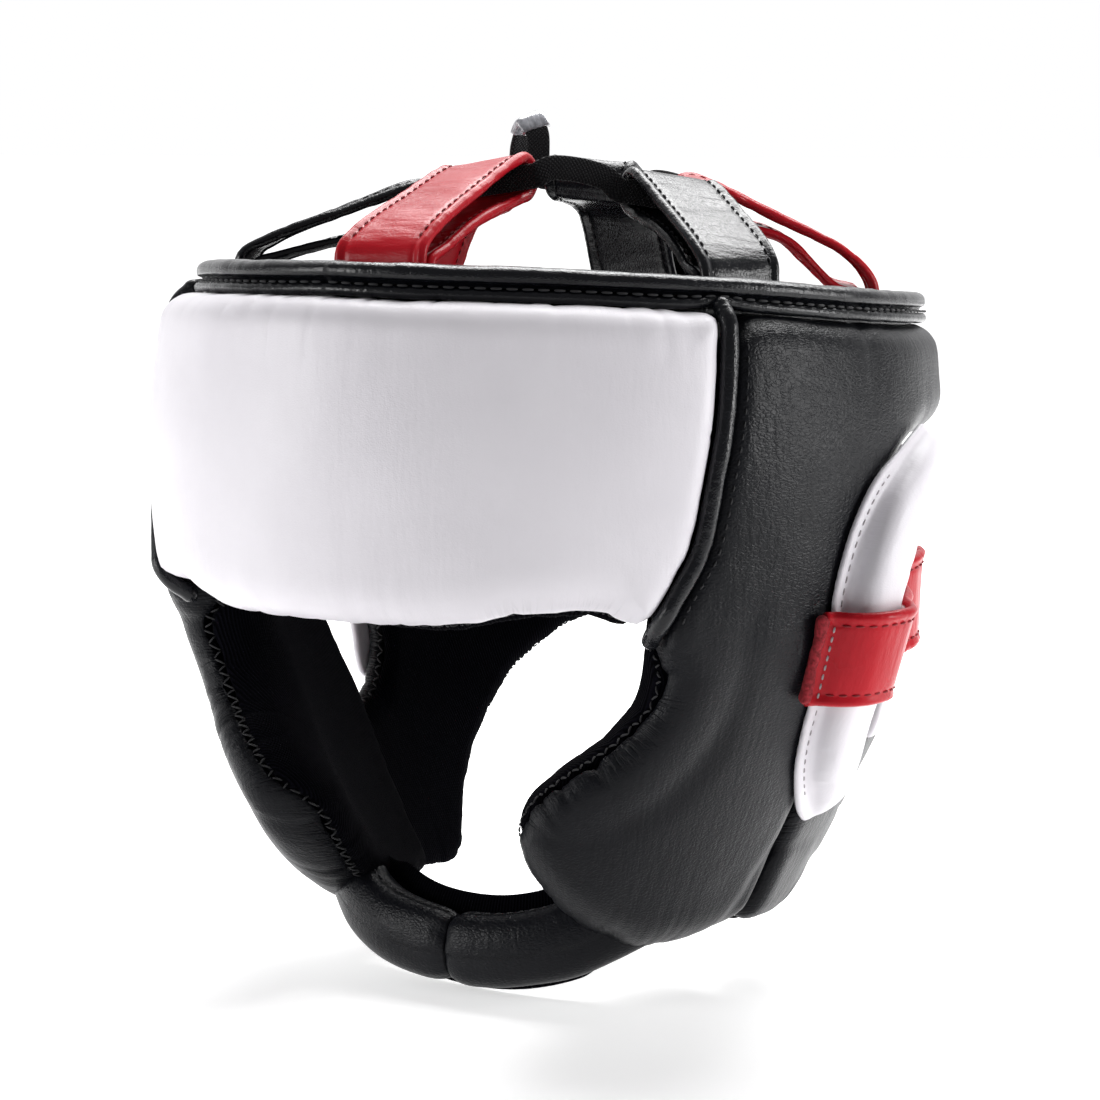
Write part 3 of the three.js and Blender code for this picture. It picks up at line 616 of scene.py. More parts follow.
def sweep(centres, across, out, profile, closed=False):
    """Rings of a closed profile of (across, out) pairs along a line, the same or one for each ring."""
    profile = np.broadcast_to(profile, (len(centres),) + profile.shape[-2:])
    rings = centres[:, None] + across[:, None] * profile[..., :1] + out[:, None] * profile[..., 1:]
    count, sides = rings.shape[:2]
    vertices = rings.reshape(-1, 3)
    spans = np.arange(count if closed else count - 1)[:, None]
    corner = np.arange(sides)[None, :]
    here, there = spans * sides, (spans + 1) % count * sides
    turn = (corner + 1) % sides
    quads = np.stack(np.broadcast_arrays(here + corner, here + turn, there + turn, there + corner), axis=-1)
    faces = quads.reshape(-1, 4).tolist()
    if not closed:
        for ring, order in ((0, -1), (count - 1, 1)):
            middle = len(vertices)
            vertices = np.concatenate([vertices, rings[ring].mean(axis=0)[None]])
            loop = [ring * sides + i for i in range(sides)][::order]
            faces += [[a, b, middle] for a, b in zip(loop, loop[1:] + loop[:1])]
    return vertices, outward_faces(vertices, faces)


def outward_faces(vertices, faces):
    """The faces, turned over where they enclose a negative volume."""
    fans = np.array([(f[0], f[i], f[i + 1]) for f in faces for i in range(1, len(f) - 1)])
    a, b, c = (vertices[fans[:, i]] for i in range(3))
    volume = (a * np.cross(b, c)).sum()
    return faces if volume > 0 else [face[::-1] for face in faces]


def sweep_surface(line, profile, total):
    """Place on the leather of each vertex of a sweep: length along it and length round its profile."""
    length = np.concatenate([[0], np.cumsum(np.linalg.norm(np.diff(line, axis=0), axis=1))])
    profile = profile if profile.ndim == 2 else profile[len(profile) // 2]
    round_ = np.concatenate([[0], np.cumsum(np.linalg.norm(np.diff(profile, axis=0), axis=1))])
    grid = np.stack(np.meshgrid(length, round_, indexing="ij"), axis=-1).reshape(-1, 2)
    extra = total - len(grid)
    return np.concatenate([grid, np.zeros((extra, 2))]) if extra else grid


def swollen(vertices, line, push):
    """A sweep with its rings pushed away from its line; the middles of its end caps stay."""
    sides = len(vertices) // len(line)
    rings = sides * len(line)
    off = unit(vertices[:rings] - np.repeat(line, sides, axis=0))
    return np.concatenate([vertices[:rings] + off * push[:rings, None], vertices[rings:]])


def section(half_across, half_out, sides, powers=(1, 1)):
    """Closed profile of a sweep: an ellipse, squarer where a power is less than 1."""
    angle = np.linspace(0, 2 * np.pi, sides, endpoint=False)
    across, out = (np.sign(r) * np.abs(r) ** p for r, p in zip((np.cos(angle), np.sin(angle)), powers))
    return np.column_stack([half_across * across, half_out * out])


def strap_profile(width, leather, roll, groove_at):
    """Section of a strap with turned edges: a bead along each edge and a dent under each stitch row."""
    near_edge = np.array([0, 0.12, 0.4, 0.8, 1.3, 1.9, 2.5, 3.0, 3.4, 3.8, 4.3, 5.2, 6.6, 8.5, 11.0])
    near_edge = near_edge[near_edge < width / 2 - 0.5]
    off = np.concatenate([near_edge, [width / 2], width - near_edge[::-1]])
    edge = np.minimum(off, width - off)
    bead = roll * np.exp(-(((edge - 1.4) / 1.0) ** 2))
    dent = 0.22 * np.exp(-(((edge - groove_at) / 0.55) ** 2))
    round_end = np.sqrt(1 - np.clip(1 - edge / 1.3, 0, 1) ** 2)
    half = (leather / 2 + bead - dent) * round_end
    top = np.column_stack([off - width / 2, half])
    bottom = np.column_stack([off - width / 2, -half])[::-1]
    return np.concatenate([top, bottom[1:-1]])


# Stitches

class Stitches:
    """Rows of thread of one colour, gathered into one mesh."""

    SIDES = 6
    RINGS = ((0.0, 0.25), (0.12, 0.8), (0.35, 1.0), (0.65, 1.0), (0.88, 0.8), (1.0, 0.25))

    def __init__(self):
        self.vertices, self.faces, self.count = [], [], 0

    def add(self, starts, ends, outs, radius, bow):
        """A stitch from each start to each end, bowed outwards in its middle."""
        along = ends - starts
        forward = unit(along)
        side = unit(np.cross(forward, outs))
        lift = np.cross(side, forward)
        angle = np.linspace(0, 2 * np.pi, self.SIDES, endpoint=False)
        shares, fat = np.array(self.RINGS).T
        arch = np.sin(np.pi * shares)
        centres = starts[:, None] + along[:, None] * shares[:, None] + outs[:, None] * (bow * arch)[:, None]
        round_ = side[:, None] * np.cos(angle)[:, None] + lift[:, None] * np.sin(angle)[:, None]
        rings = centres[:, :, None] + radius * fat[:, None, None] * round_[:, None]
        sides, levels = self.SIDES, len(shares)
        corner = np.arange(sides)
        turn = (corner + 1) % sides
        pattern = []
        for level in range(levels - 1):
            here, there = level * sides, (level + 1) * sides
            pattern += [[here + a, here + b, there + b, there + a] for a, b in zip(corner, turn)]
        caps = [corner[::-1].tolist(), ((levels - 1) * sides + corner).tolist()]
        for _ in range(len(starts)):
            self.faces += [[self.count + i for i in face] for face in pattern + caps]
            self.count += sides * levels
        self.vertices.append(rings.reshape(-1, 3))

    def row(self, line, outs, length=2.6, gap=0.9, radius=0.32, bow=0.22, sink=0.12):
        """A running row of stitches along a line of points with their outward directions."""
        steps = np.linalg.norm(np.diff(line, axis=0), axis=1)
        arc = np.concatenate([[0], np.cumsum(steps)])
        first = np.arange(0.4, arc[-1] - length, length + gap)

        def at(place, rows):
            return np.stack([np.interp(place, arc, column) for column in rows.T], axis=1)

        out = unit(at(first + length / 2, outs))
        self.add(at(first, line) - sink * out, at(first + length, line) - sink * out, out, radius, bow)

    def finish(self, name, material, slot):
        vertices = np.concatenate(self.vertices)
        piece = add_mesh(name, vertices, self.faces, vertices[:, :2], material)
        return settle(piece, slot)


# Materials

class Nodes:
    """Builds nodes in a shader tree."""

    def __init__(self, owner):
        owner.use_nodes = True
        self.tree = owner.node_tree

    def add(self, kind, inputs=None, **settings):
        node = self.tree.nodes.new(kind)
        for key, value in settings.items():
            setattr(node, key, value)
        for socket, value in (inputs or {}).items():
            if isinstance(value, bpy.types.NodeSocket):
                self.tree.links.new(value, node.inputs[socket])
            else:
                node.inputs[socket].default_value = value
        return node

    def towards(self, vector, direction):
        """How far a place lies in a direction."""
        inputs = {0: vector, 1: direction}
        return self.add("ShaderNodeVectorMath", inputs, operation="DOT_PRODUCT").outputs["Value"]

    def ramp(self, value, low, high, **settings):
        """A value mapped from (from, to) at its low end to (from, to) at its high end."""
        ends = {"From Min": low[0], "From Max": high[0], "To Min": low[1], "To Max": high[1]}
        node = self.add("ShaderNodeMapRange", {"Value": value, **ends}, clamp=True, **settings)
        return node.outputs["Result"]


class Shader(Nodes):
    """A material built from a Principled shader and a few texture nodes."""

    def __init__(self, name, **values):
        self.material = bpy.data.materials.new(name)
        super().__init__(self.material)
        self.shader = self.tree.nodes["Principled BSDF"]
        for socket, value in values.items():
            self.shader.inputs[socket.replace("_", " ")].default_value = value

    def place(self, turn=0.0, scale=(1, 1, 1), layer="surface"):
        """Place on the leather in millimetres, turned and stretched."""
        uv = self.add("ShaderNodeUVMap", uv_map=layer)
        inputs = {"Vector": uv.outputs["UV"], "Rotation": (0, 0, math.radians(turn)), "Scale": scale}
        return self.add("ShaderNodeMapping", inputs).outputs["Vector"]

    def seam_reach(self):
        """Distance from the nearest seam in millimetres."""
        uv = self.add("ShaderNodeUVMap", uv_map="seam")
        return self.add("ShaderNodeSeparateXYZ", {"Vector": uv.outputs["UV"]}).outputs["Y"]

    def object_place(self):
        return self.add("ShaderNodeTexCoord").outputs["Object"]

    def noise(self, vector, scale, detail=2.0):
        inputs = {"Vector": vector, "Scale": scale, "Detail": detail}
        return self.add("ShaderNodeTexNoise", inputs).outputs["Fac"]

    def cells(self, vector, scale, feature="DISTANCE_TO_EDGE"):
        inputs = {"Vector": vector, "Scale": scale, "Randomness": 0.95}
        return self.add("ShaderNodeTexVoronoi", inputs, feature=feature).outputs["Distance"]

    def mix(self, share, a, b):
        """Mixed colours: 0, 6 and 7 are the mix node's colour sockets, and 2 its colour result."""
        return self.add("ShaderNodeMix", {0: share, 6: a, 7: b}, data_type="RGBA").outputs[2]

    def maths(self, operation, *values):
        return self.add("ShaderNodeMath", dict(enumerate(values)), operation=operation).outputs[0]

    def wave(self, vector, scale, **inputs):
        """Straight bands across a vector."""
        inputs = {name.replace("_", " "): value for name, value in inputs.items()}
        inputs = {"Vector": vector, "Scale": scale, **inputs}
        return self.add("ShaderNodeTexWave", inputs, bands_direction="X").outputs["Fac"]

    def bump(self, *layers):
        """Bumps of (height, depth in millimetres, strength), one over the other."""
        normal = None
        for height, depth, strength in layers:
            inputs = {"Height": height, "Distance": depth * MM, "Strength": strength}
            if normal is not None:
                inputs["Normal"] = normal
            normal = self.add("ShaderNodeBump", inputs).outputs["Normal"]
        self.tree.links.new(normal, self.shader.inputs["Normal"])

    def link(self, socket, value):
        self.tree.links.new(value, self.shader.inputs[socket])


def leather(name, light, dark, roughness, cell, stretch, turn, grain, crease, gather, **values):
    """Leather with pebbled grain, long soft creases, fine gathers along its seams and uneven colour, with
    painted shade darkening it near its seams and in its gathers.
    """
    shader = Shader(name, **values)
    place = shader.place(turn, (1, stretch, 1))
    drift = shader.add("ShaderNodeTexNoise", {"Vector": place, "Scale": 0.45, "Detail": 2.0}).outputs["Color"]
    inputs = {0: drift, 1: (1.8, 1.8, 0), 2: place}
    drifted = shader.add("ShaderNodeVectorMath", inputs, operation="MULTIPLY_ADD").outputs[0]
    pebble = shader.ramp(shader.cells(drifted, 1 / cell), (0.0, 0.0), (0.28, 1.0))
    long_fold = shader.noise(shader.place(turn, (0.55, 0.12, 1)), 1.0, 3.0)
    reach = shader.seam_reach()
    wave = shader.noise(shader.place(0, (0.62, 0.05, 1), "seam"), 1.0, 2.0)
    off_line = shader.maths("ABSOLUTE", shader.maths("SUBTRACT", wave, 0.5))
    line = shader.ramp(off_line, (0.0, 1.0), (0.07, 0.0))
    crowd = shader.noise(shader.place(0, (0.05, 0.02, 1), "seam"), 1.0, 1.0)
    cluster = shader.ramp(crowd, (0.42, 0.15), (0.6, 1.0))
    tuck = shader.maths("MULTIPLY", line, shader.ramp(reach, (0.5, 1.0), (12.0, 0.0)))
    tuck = shader.maths("MULTIPLY", tuck, cluster)
    open_leather = shader.maths("SUBTRACT", 1.0, tuck)
    shader.bump((long_fold, 0.5, crease), (open_leather, 0.5, gather), (pebble, 0.12, grain))
    patch = shader.ramp(shader.noise(shader.object_place(), 22.0, 4.0), (0.3, 0.0), (0.7, 1.0))
    # Painted shade: the colour darkens within a few millimetres of a seam, in uneven patches, and in the
    # gathers along the seams.
    painted_seam_shade = shader.maths("MULTIPLY", shader.ramp(reach, (1.0, 0.35), (5.0, 0.0)), patch)
    painted_seam_shade = shader.maths("MAXIMUM", painted_seam_shade, shader.maths("MULTIPLY", tuck, 0.35))
    shade = tuple(0.45 * c for c in dark[:3]) + (1,)
    shader.link("Base Color", shader.mix(painted_seam_shade, shader.mix(patch, dark, light), shade))
    dull = shader.noise(shader.object_place(), 60.0, 3.0)
    shader.link("Roughness", shader.ramp(dull, (0.25, roughness[0]), (0.75, roughness[1])))
    return shader.material


def ribbed_lining(name):
    """Brushed knit with fine curved ribs."""
    shader = Shader(name, Roughness=0.95, Sheen_Weight=0.012, Sheen_Roughness=0.4, Specular_IOR_Level=0.015)
    ribs = shader.wave(shader.place(12), 0.30, Distortion=2.2, Detail=2.0, Detail_Scale=0.12)
    fuzz = shader.noise(shader.object_place(), 1800.0, 4.0)
    shader.bump((ribs, 0.3, 0.8), (fuzz, 0.25, 0.6))
    shade = shader.maths("MULTIPLY", ribs, shader.ramp(fuzz, (0.3, 0.4), (0.7, 1.0)))
    shader.link("Base Color", shader.mix(shade, (0.0006, 0.0006, 0.0011, 1), (0.0042, 0.0040, 0.0066, 1)))
    return shader.material


def woven(name, pitch, dark, light):
    """Flat woven tape with a diagonal rib."""
    shader = Shader(name, Roughness=0.85, Sheen_Weight=0.15, Specular_IOR_Level=0.2)
    over, under = (shader.wave(shader.place(turn), 0.314 / pitch) for turn in (38, -52))
    knots = shader.maths("MULTIPLY", over, under)
    fuzz = shader.noise(shader.object_place(), 2500.0, 2.0)
    shader.bump((knots, 0.35, 0.9), (fuzz, 0.12, 0.5))
    shader.link("Base Color", shader.mix(knots, dark, light))
    return shader.material


def thread(name, colour):
    """Twisted thread."""
    shader = Shader(name, Roughness=0.7, Base_Color=colour)
    twist = shader.noise(shader.object_place(), 3500.0, 2.0)
    shader.bump((twist, 0.15, 0.6))
    shade = shader.ramp(twist, (0.3, 0.0), (0.7, 1.0))
    dark = tuple(0.55 * c for c in colour[:3]) + (1,)
    shader.link("Base Color", shader.mix(shade, dark, colour))
    return shader.material


def suede(name, dark, light):
    """Raw fuzzy edge of cut leather."""
    shader = Shader(name, Roughness=0.95)
    fuzz = shader.noise(shader.object_place(), 900.0, 5.0)
    shader.bump((fuzz, 0.6, 1.0))
    shader.link("Base Color", shader.mix(shader.ramp(fuzz, (0.35, 0.0), (0.65, 1.0)), dark, light))
    return shader.material


def taped_lace(name, glare):
    """Clear tape tight round dark lace: its ribs show through a glossy face, with pale streaks of painted
    reflection.
    """
    shader = Shader(name, Roughness=0.16, Coat_Weight=1.0, Coat_Roughness=0.04)
    ribs = shader.ramp(shader.noise(shader.place(0, (0.06, 1.1, 1)), 1.0, 2.0), (0.4, 0.0), (0.62, 1.0))
    # Painted reflection: pale streaks mixed into the colour over the lace's ribs.
    patch = shader.ramp(shader.noise(shader.place(20, (0.16, 0.2, 1)), 1.0, 2.0), glare, (0.7, 1.0))
    shader.bump((ribs, 0.12, 0.5))
    through = shader.mix(ribs, (0.012, 0.012, 0.015, 1), (0.10, 0.10, 0.12, 1))
    shader.link("Base Color", shader.mix(patch, through, (0.62, 0.63, 0.68, 1)))
    return shader.material


BLACK = leather(
    "black_leather", (0.0050, 0.0054, 0.0074, 1), (0.0030, 0.0033, 0.0048, 1),
    roughness=(0.30, 0.40), cell=1.5, stretch=1.7, turn=38, grain=0.5, crease=0.35, gather=0.8,
    Specular_IOR_Level=0.15,
)
SMOOTH_BLACK = leather(
    "smooth_black_leather", (0.0050, 0.0054, 0.0074, 1), (0.0030, 0.0033, 0.0048, 1),
    roughness=(0.20, 0.30), cell=1.2, stretch=1.5, turn=25, grain=0.32, crease=0.4, gather=0.5,
    Specular_IOR_Level=0.34,
)
WHITE = leather(
    "white_leather", (0.76, 0.735, 0.775, 1), (0.70, 0.675, 0.715, 1),
    roughness=(0.38, 0.48), cell=0.8, stretch=1.3, turn=20, grain=0.12, crease=0.16, gather=0.45,
    Specular_IOR_Level=0.4,
)
RED = leather(
    "red_leather", (0.50, 0.010, 0.020, 1), (0.38, 0.006, 0.013, 1),
    roughness=(0.24, 0.34), cell=0.9, stretch=0.5, turn=8, grain=0.15, crease=0.4, gather=0.4,
    Specular_IOR_Level=0.17,
)
LINING = ribbed_lining("lining")
LACE = woven("lace", 0.8, (0.002, 0.002, 0.003, 1), (0.011, 0.010, 0.012, 1))
# Tapes with pale streaks of painted reflection, the second over more of its face.
DARK_TAPE, PALE_GLARE_TAPE = taped_lace("dark_tape", (0.47, 0.0)), taped_lace("pale_glare_tape", (0.3, 0.0))
BLACK_THREAD = thread("black_thread", (0.010, 0.010, 0.012, 1))
RED_THREAD = thread("red_thread", (0.30, 0.008, 0.014, 1))
GREY_THREAD = thread("grey_thread", (0.50, 0.46, 0.48, 1))
RAW_RED = suede("raw_red_edge", (0.16, 0.006, 0.010, 1), (0.36, 0.02, 0.03, 1))

black_stitches, red_stitches, grey_stitches = (Stitches() for _ in range(3))
SIDES = (("left", 1), ("right", -1))


# Pads

def unrolled(rows):
    return np.column_stack([rows["station"] * MM_PER_DEGREE, rows["z"]])


def forehead_outline():
    top = np.linspace(60.5, -60.5, 40)
    upper = np.column_stack([top * MM_PER_DEGREE, rim_z(np.abs(top)) - RIM_HEIGHT])
    down = np.linspace(-6, -80, 20)
    right = np.column_stack([-seam_station(down) * MM_PER_DEGREE + SEAM_CLEAR, down])
    base = np.linspace(-48.5, 48.5, 40)
    lower = np.column_stack([base * MM_PER_DEGREE, brow_z(np.abs(base))])
    left = np.column_stack([seam_station(down[::-1]) * MM_PER_DEGREE - SEAM_CLEAR, down[::-1]])
    return np.concatenate([upper, right, lower, left])


def side_outline():
    down = np.linspace(-10, -98, 24)
    seam = np.column_stack([seam_station(down) * MM_PER_DEGREE + SEAM_CLEAR, down])
    top = np.linspace(ARM_END, 65, 30)
    upper = np.column_stack([top * MM_PER_DEGREE, rim_z(top) - RIM_HEIGHT])
    arm_end = np.array([[ARM_END * MM_PER_DEGREE, ARM_BOTTOM]])
    return np.concatenate([seam, unrolled(EYE_NOTCH), unrolled(JAW), unrolled(EAR_SLOT), arm_end, upper])


def back_outline():
    top = np.linspace(ARM_END + 1, 180, 24)
    under_arm = [[(ARM_END + 0.8) * MM_PER_DEGREE, ARM_BOTTOM - 1.5]]
    upper = np.column_stack([top * MM_PER_DEGREE, rim_z(top) - RIM_HEIGHT])
    half = np.concatenate([unrolled(BACK_BOTTOM)[::-1], unrolled(BACK_FRONT), under_arm, upper])
    mirrored = np.column_stack([360 * MM_PER_DEGREE - half[:, 0], half[:, 1]])[::-1]
    return np.concatenate([half, mirrored[1:-1]])


def near_front_seam(width, z):
    """1 along the front seam and 0 away from it."""
    off = np.abs(np.abs(width) - seam_station(z) * MM_PER_DEGREE)
    return smoothstep(off, 6, 3.5) * smoothstep(z, -96, -86)


def under_rim(width, z):
    """1 along the top edge, under the rim."""
    top = rim_z(near_side(width / MM_PER_DEGREE)) - RIM_HEIGHT
    return smoothstep(z, top - 4, top - 1)


def edge_radius(open_edge, at_rim, at_seam):
    """Radius along a pad's outline: at open edges, less under the rim and at the front seam."""

    def radius(width, z):
        free = open_edge - (open_edge - at_rim) * under_rim(width, z)
        return free + (at_seam - free) * near_front_seam(width, z)

    return radius


def at_notch(width, z):
    """1 along the eye notch and 0 away from it."""
    station = width / MM_PER_DEGREE
    return smoothstep(z, -146, -134) * smoothstep(z, -88, -97) * smoothstep(station, 62, 57)


def at_brow(width, z):
    """1 along the brow edge at both sides of its middle and 0 away from it."""
    return smoothstep(z, -70, -78) * smoothstep(np.abs(width), 8, 26)


forehead = Pad(
    Outline(forehead_outline(), 2.6), PAD, edge_radius(12, 7.5, 4.5), 11,
    seam=lambda width, z: 17 - 3 * at_brow(width, z), puff=lambda width, z: 1.5 * at_brow(width, z),
)
side_pad = Pad(
    Outline(side_outline(), 2.8), PAD, edge_radius(12, 8, 3.8), 12,
    seam=lambda width, z: 18.5 - 9.5 * at_notch(width, z), puff=lambda width, z: 0.8 * at_notch(width, z),
)
back_pad = Pad(
    Outline(back_outline(), 2.8), BACK, lambda width, z: 5 + 0 * z, 5,
    seam=lambda width, z: 8 + 0 * z, puff=lambda width, z: 0 * z, wall=back_inset,
)

CHEEK_CREASES = (
    crease_line((36.5, -120), (42, -133), 0.45, 0.9),
    crease_line((38.5, -118), (46, -127), 0.30, 0.8),
    crease_line((46, -110), (53, -117), 0.35, 0.9),
    crease_line((51.5, -98), (58, -99), 0.35, 1.0),
    crease_line((52, -92), (57.5, -88), 0.3, 0.9),
    crease_line((84, -150), (79, -176), 1.3, 4.0),
    notch_hollow,
)

settle(
    pad_piece("forehead_cover", forehead, 1.25, WHITE, "leather", 11, edge_depth=0.7, swell=0.3),
    "white_leather", "forehead_pad", fill=0.9,
)
settle(
    pad_piece("forehead_inside", forehead, 1.4, LINING, "lining", 21, edge_depth=0.5, swell=0.5),
    "lining", "forehead_lining", fill=0.7,
)
for name, side in SIDES:
    seed = 30 if side > 0 else 50
    cover = pad_piece(
        f"side_cover_{name}", side_pad, 1.25, BLACK, "leather", seed, side, 1.1, creases=CHEEK_CREASES
    )
    settle(cover, "black_leather", f"side_pad_{name}", fill=0.9)
    inside = pad_piece(f"side_inside_{name}", side_pad, 1.4, LINING, "lining", seed + 10, side, 0.6, 0.6)
    settle(inside, "lining", f"side_lining_{name}", fill=0.7)
back_cover = pad_piece("back_cover", back_pad, 1.4, BLACK, "leather", 71, creases=(ear_swell,))
settle(back_cover, "black_leather", "back_panel", fill=0.7)
back_inside = pad_piece("back_inside", back_pad, 1.5, LINING, "lining", 81, edge_depth=0.5)
settle(back_inside, "lining", "back_lining", fill=0.6)


def seam_stitches(pad, side, seed, pitch=2.1):
    """Slanting stitches across the groove where leather and lining meet."""
    points, inward, arc = pad.outline.points(pitch)
    seam = pad.seam(arc)
    beyond = np.maximum(seam - (pad.thickness - pad.inner_radius), 0)
    turned = pad.inner_radius - np.sqrt(pad.inner_radius**2 - beyond**2)
    rng = np.random.default_rng(seed)
    slant = np.where(np.arange(len(points)) % 2 == 0, 0.8, -0.8) + rng.uniform(-0.3, 0.3, len(points))
    along = np.stack([inward[:, 1], -inward[:, 0]], axis=1)

    def at(across, shift):
        spot = points + inward * (turned + 0.35)[:, None] + along * shift[:, None]
        return pad.place(np.column_stack([spot, seam + across]), side)

    starts, ends = at(-1.3, -slant), at(1.2, slant)
    centre = pad.place(np.column_stack([points + inward * 4, seam]), side)
    black_stitches.add(starts, ends, unit((starts + ends) / 2 - centre), 0.3, 0.25)


for pad, side, seed in ((forehead, 1, 91), (side_pad, 1, 92), (side_pad, -1, 92), (back_pad, 1, 93)):
    seam_stitches(pad, side, seed)

# Stitches in the black leather along the front piping
z = np.linspace(-12, -84, 60)
width = seam_station(z) * MM_PER_DEGREE + PIPING_RADIUS + 2.2
for _, side in SIDES:
    line, out = side_pad.surface(width, z, 0.05, side)
    black_stitches.row(line, out, length=1.7, gap=1.6, radius=0.28)


# Piping and rim

def from_axis(line):
    return unit(line * [1, 1, 0])


def tube(name, line, radius, material, seed, closed=False, wobble=0.12, taper=0):
    """A round cord covered in leather, slightly uneven."""
    along = tangents(line, closed)
    out = from_axis(line)
    out = unit(out - (out * along).sum(axis=1, keepdims=True) * along)
    share = np.linspace(0, 1, len(line))
    size = radius * np.ones(len(line))
    if taper:
        size *= np.sqrt(np.clip(np.minimum(share, 1 - share) / taper, 0.02, 1))
    profile = section(1, 1, 20)[None] * size[:, None, None]
    vertices, faces = sweep(line, np.cross(along, out), out, profile, closed)
    surface = sweep_surface(line, profile, len(vertices))
    push = wobble * noise(vertices, 5, seed) + 0.5 * wobble * noise(vertices, 1.8, seed + 1)
    return add_mesh(name, swollen(vertices, line, push), faces, surface, material)


for name, side in SIDES:
    z = np.concatenate([[-0.5, -3], np.linspace(-7, -80, 18), [-84, -87.5, -90]])
    stand_out = 0.8 if side > 0 else 2.4
    depth = PIPING_RADIUS - stand_out + 4.5 * smoothstep(z, -9, -1) + 9 * smoothstep(z, -80, -91)
    line = shell_point(seam_station(z), z, depth) * [side, 1, 1]
    cord = tube(f"front_cord_{name}", spline(line, 130), PIPING_RADIUS, SMOOTH_BLACK, 101 + side, taper=0.02)
    settle(cord, "black_leather", f"front_piping_{name}")

# Cords laid in the open seams between the pads, behind the leather's edges
front_z = np.linspace(-4, -84, 30)
jaw_z = np.linspace(-138, -174, 12)
arm_z = np.linspace(-4, ARM_BOTTOM - 1, 12)
SEAM_CORDS = (  # name, stations, heights, depth in the shell, radius
    ("front_seam", seam_station(front_z), front_z, 19, 3.2),
    ("jaw_seam", 88.4 + 0 * jaw_z, jaw_z, 9, 2.6),
    ("arm_seam", ARM_END + 0.6 + 0 * arm_z, arm_z, 16, 2.6),
)
for name, side in SIDES:
    for seam, cord_station, z, depth, radius in SEAM_CORDS:
        line = shell_point(cord_station, z, depth) * [side, 1, 1]
        settle(tube(f"{seam}_{name}", spline(line, 60), radius, LINING, 105 + side, taper=0.04), "lining")

station = np.linspace(0, 360, 420, endpoint=False)
near = near_side(station)
seam_rise = 1.1 * np.exp(-(((near - 61.5) / 3.2) ** 2))
BINDING_TALL, BINDING_WIDE, LOWER_PIPING = 5.6, 8.6, 1.5


def rim_line(drop, outward=0.0, rise=0.0):
    z = rim_z(near) - drop + rise
    return shell_point(station, z, rim_inset(near) - outward)


def rim_binding():
    """Rolled leather along the top edge, flatter outside, with a stitched tuck under it."""
    line = rim_line(BINDING_TALL / 2)
    sides = 32
    across, tall = section(BINDING_WIDE / 2, BINDING_TALL / 2, sides, (0.75, 0.85)).T
    angle = np.linspace(0, 2 * np.pi, sides, endpoint=False)
    tuck = 0.9 * np.exp(-(((angle - 5.55) / 0.22) ** 2))
    profile = np.column_stack([across * (1 - tuck / 5), tall + 0.5 * tuck])
    vertices, faces = sweep(line, from_axis(line), np.broadcast_to(UP, line.shape), profile, closed=True)
    surface = sweep_surface(line, profile, len(vertices))
    push = 0.22 * noise(vertices, 11, 111) + 0.14 * noise(vertices * [1, 1, 0.35], 3.2, 112)
    return add_mesh("rim_roll", swollen(vertices, line, push), faces, surface, SMOOTH_BLACK)


settle(rim_binding(), "black_leather", "rim_binding", fill=0.8)
lower = rim_line(BINDING_TALL + LOWER_PIPING + 0.2, outward=2.6, rise=seam_rise)
rim_cord = tube("rim_cord", lower, LOWER_PIPING, SMOOTH_BLACK, 121, closed=True, wobble=0.16)
settle(rim_cord, "black_leather", "rim_piping")
under = rim_line(BINDING_TALL + 3, outward=-3.6)
settle(tube("rim_filler", under, 3.2, SMOOTH_BLACK, 125, closed=True), "black_leather")
row = rim_line(BINDING_TALL - 0.15, outward=3.9, rise=0.5 * seam_rise)
row = np.concatenate([row, row[:1]])
black_stitches.row(row, from_axis(row), 2.9, 1.1, 0.34)


# Ear rolls and straps

FLANGE = 4.6


def roll_edges(rows, front_cut):
    """Outline of a roll on the shell, with its front side drawn in by a flange's width."""
    share = np.linspace(0, 1, len(rows["z"]))
    fine = np.linspace(0, 1, 60)
    shared = {"share": share, **rows}
    station, z, width = (through(shared, "share", key)(fine) for key in ("station", "z", "width"))
    middle = np.column_stack([station * MM_PER_DEGREE, z])
    along = tangents(middle)
    aside = np.column_stack([along[:, 1], -along[:, 0]])
    cut = np.minimum(front_cut, 0.3 * width)[:, None]
    front, rear = middle + aside * (width[:, None] / 2 - cut), middle - aside * width[:, None] / 2
    return np.concatenate([front, rear[::-1]])


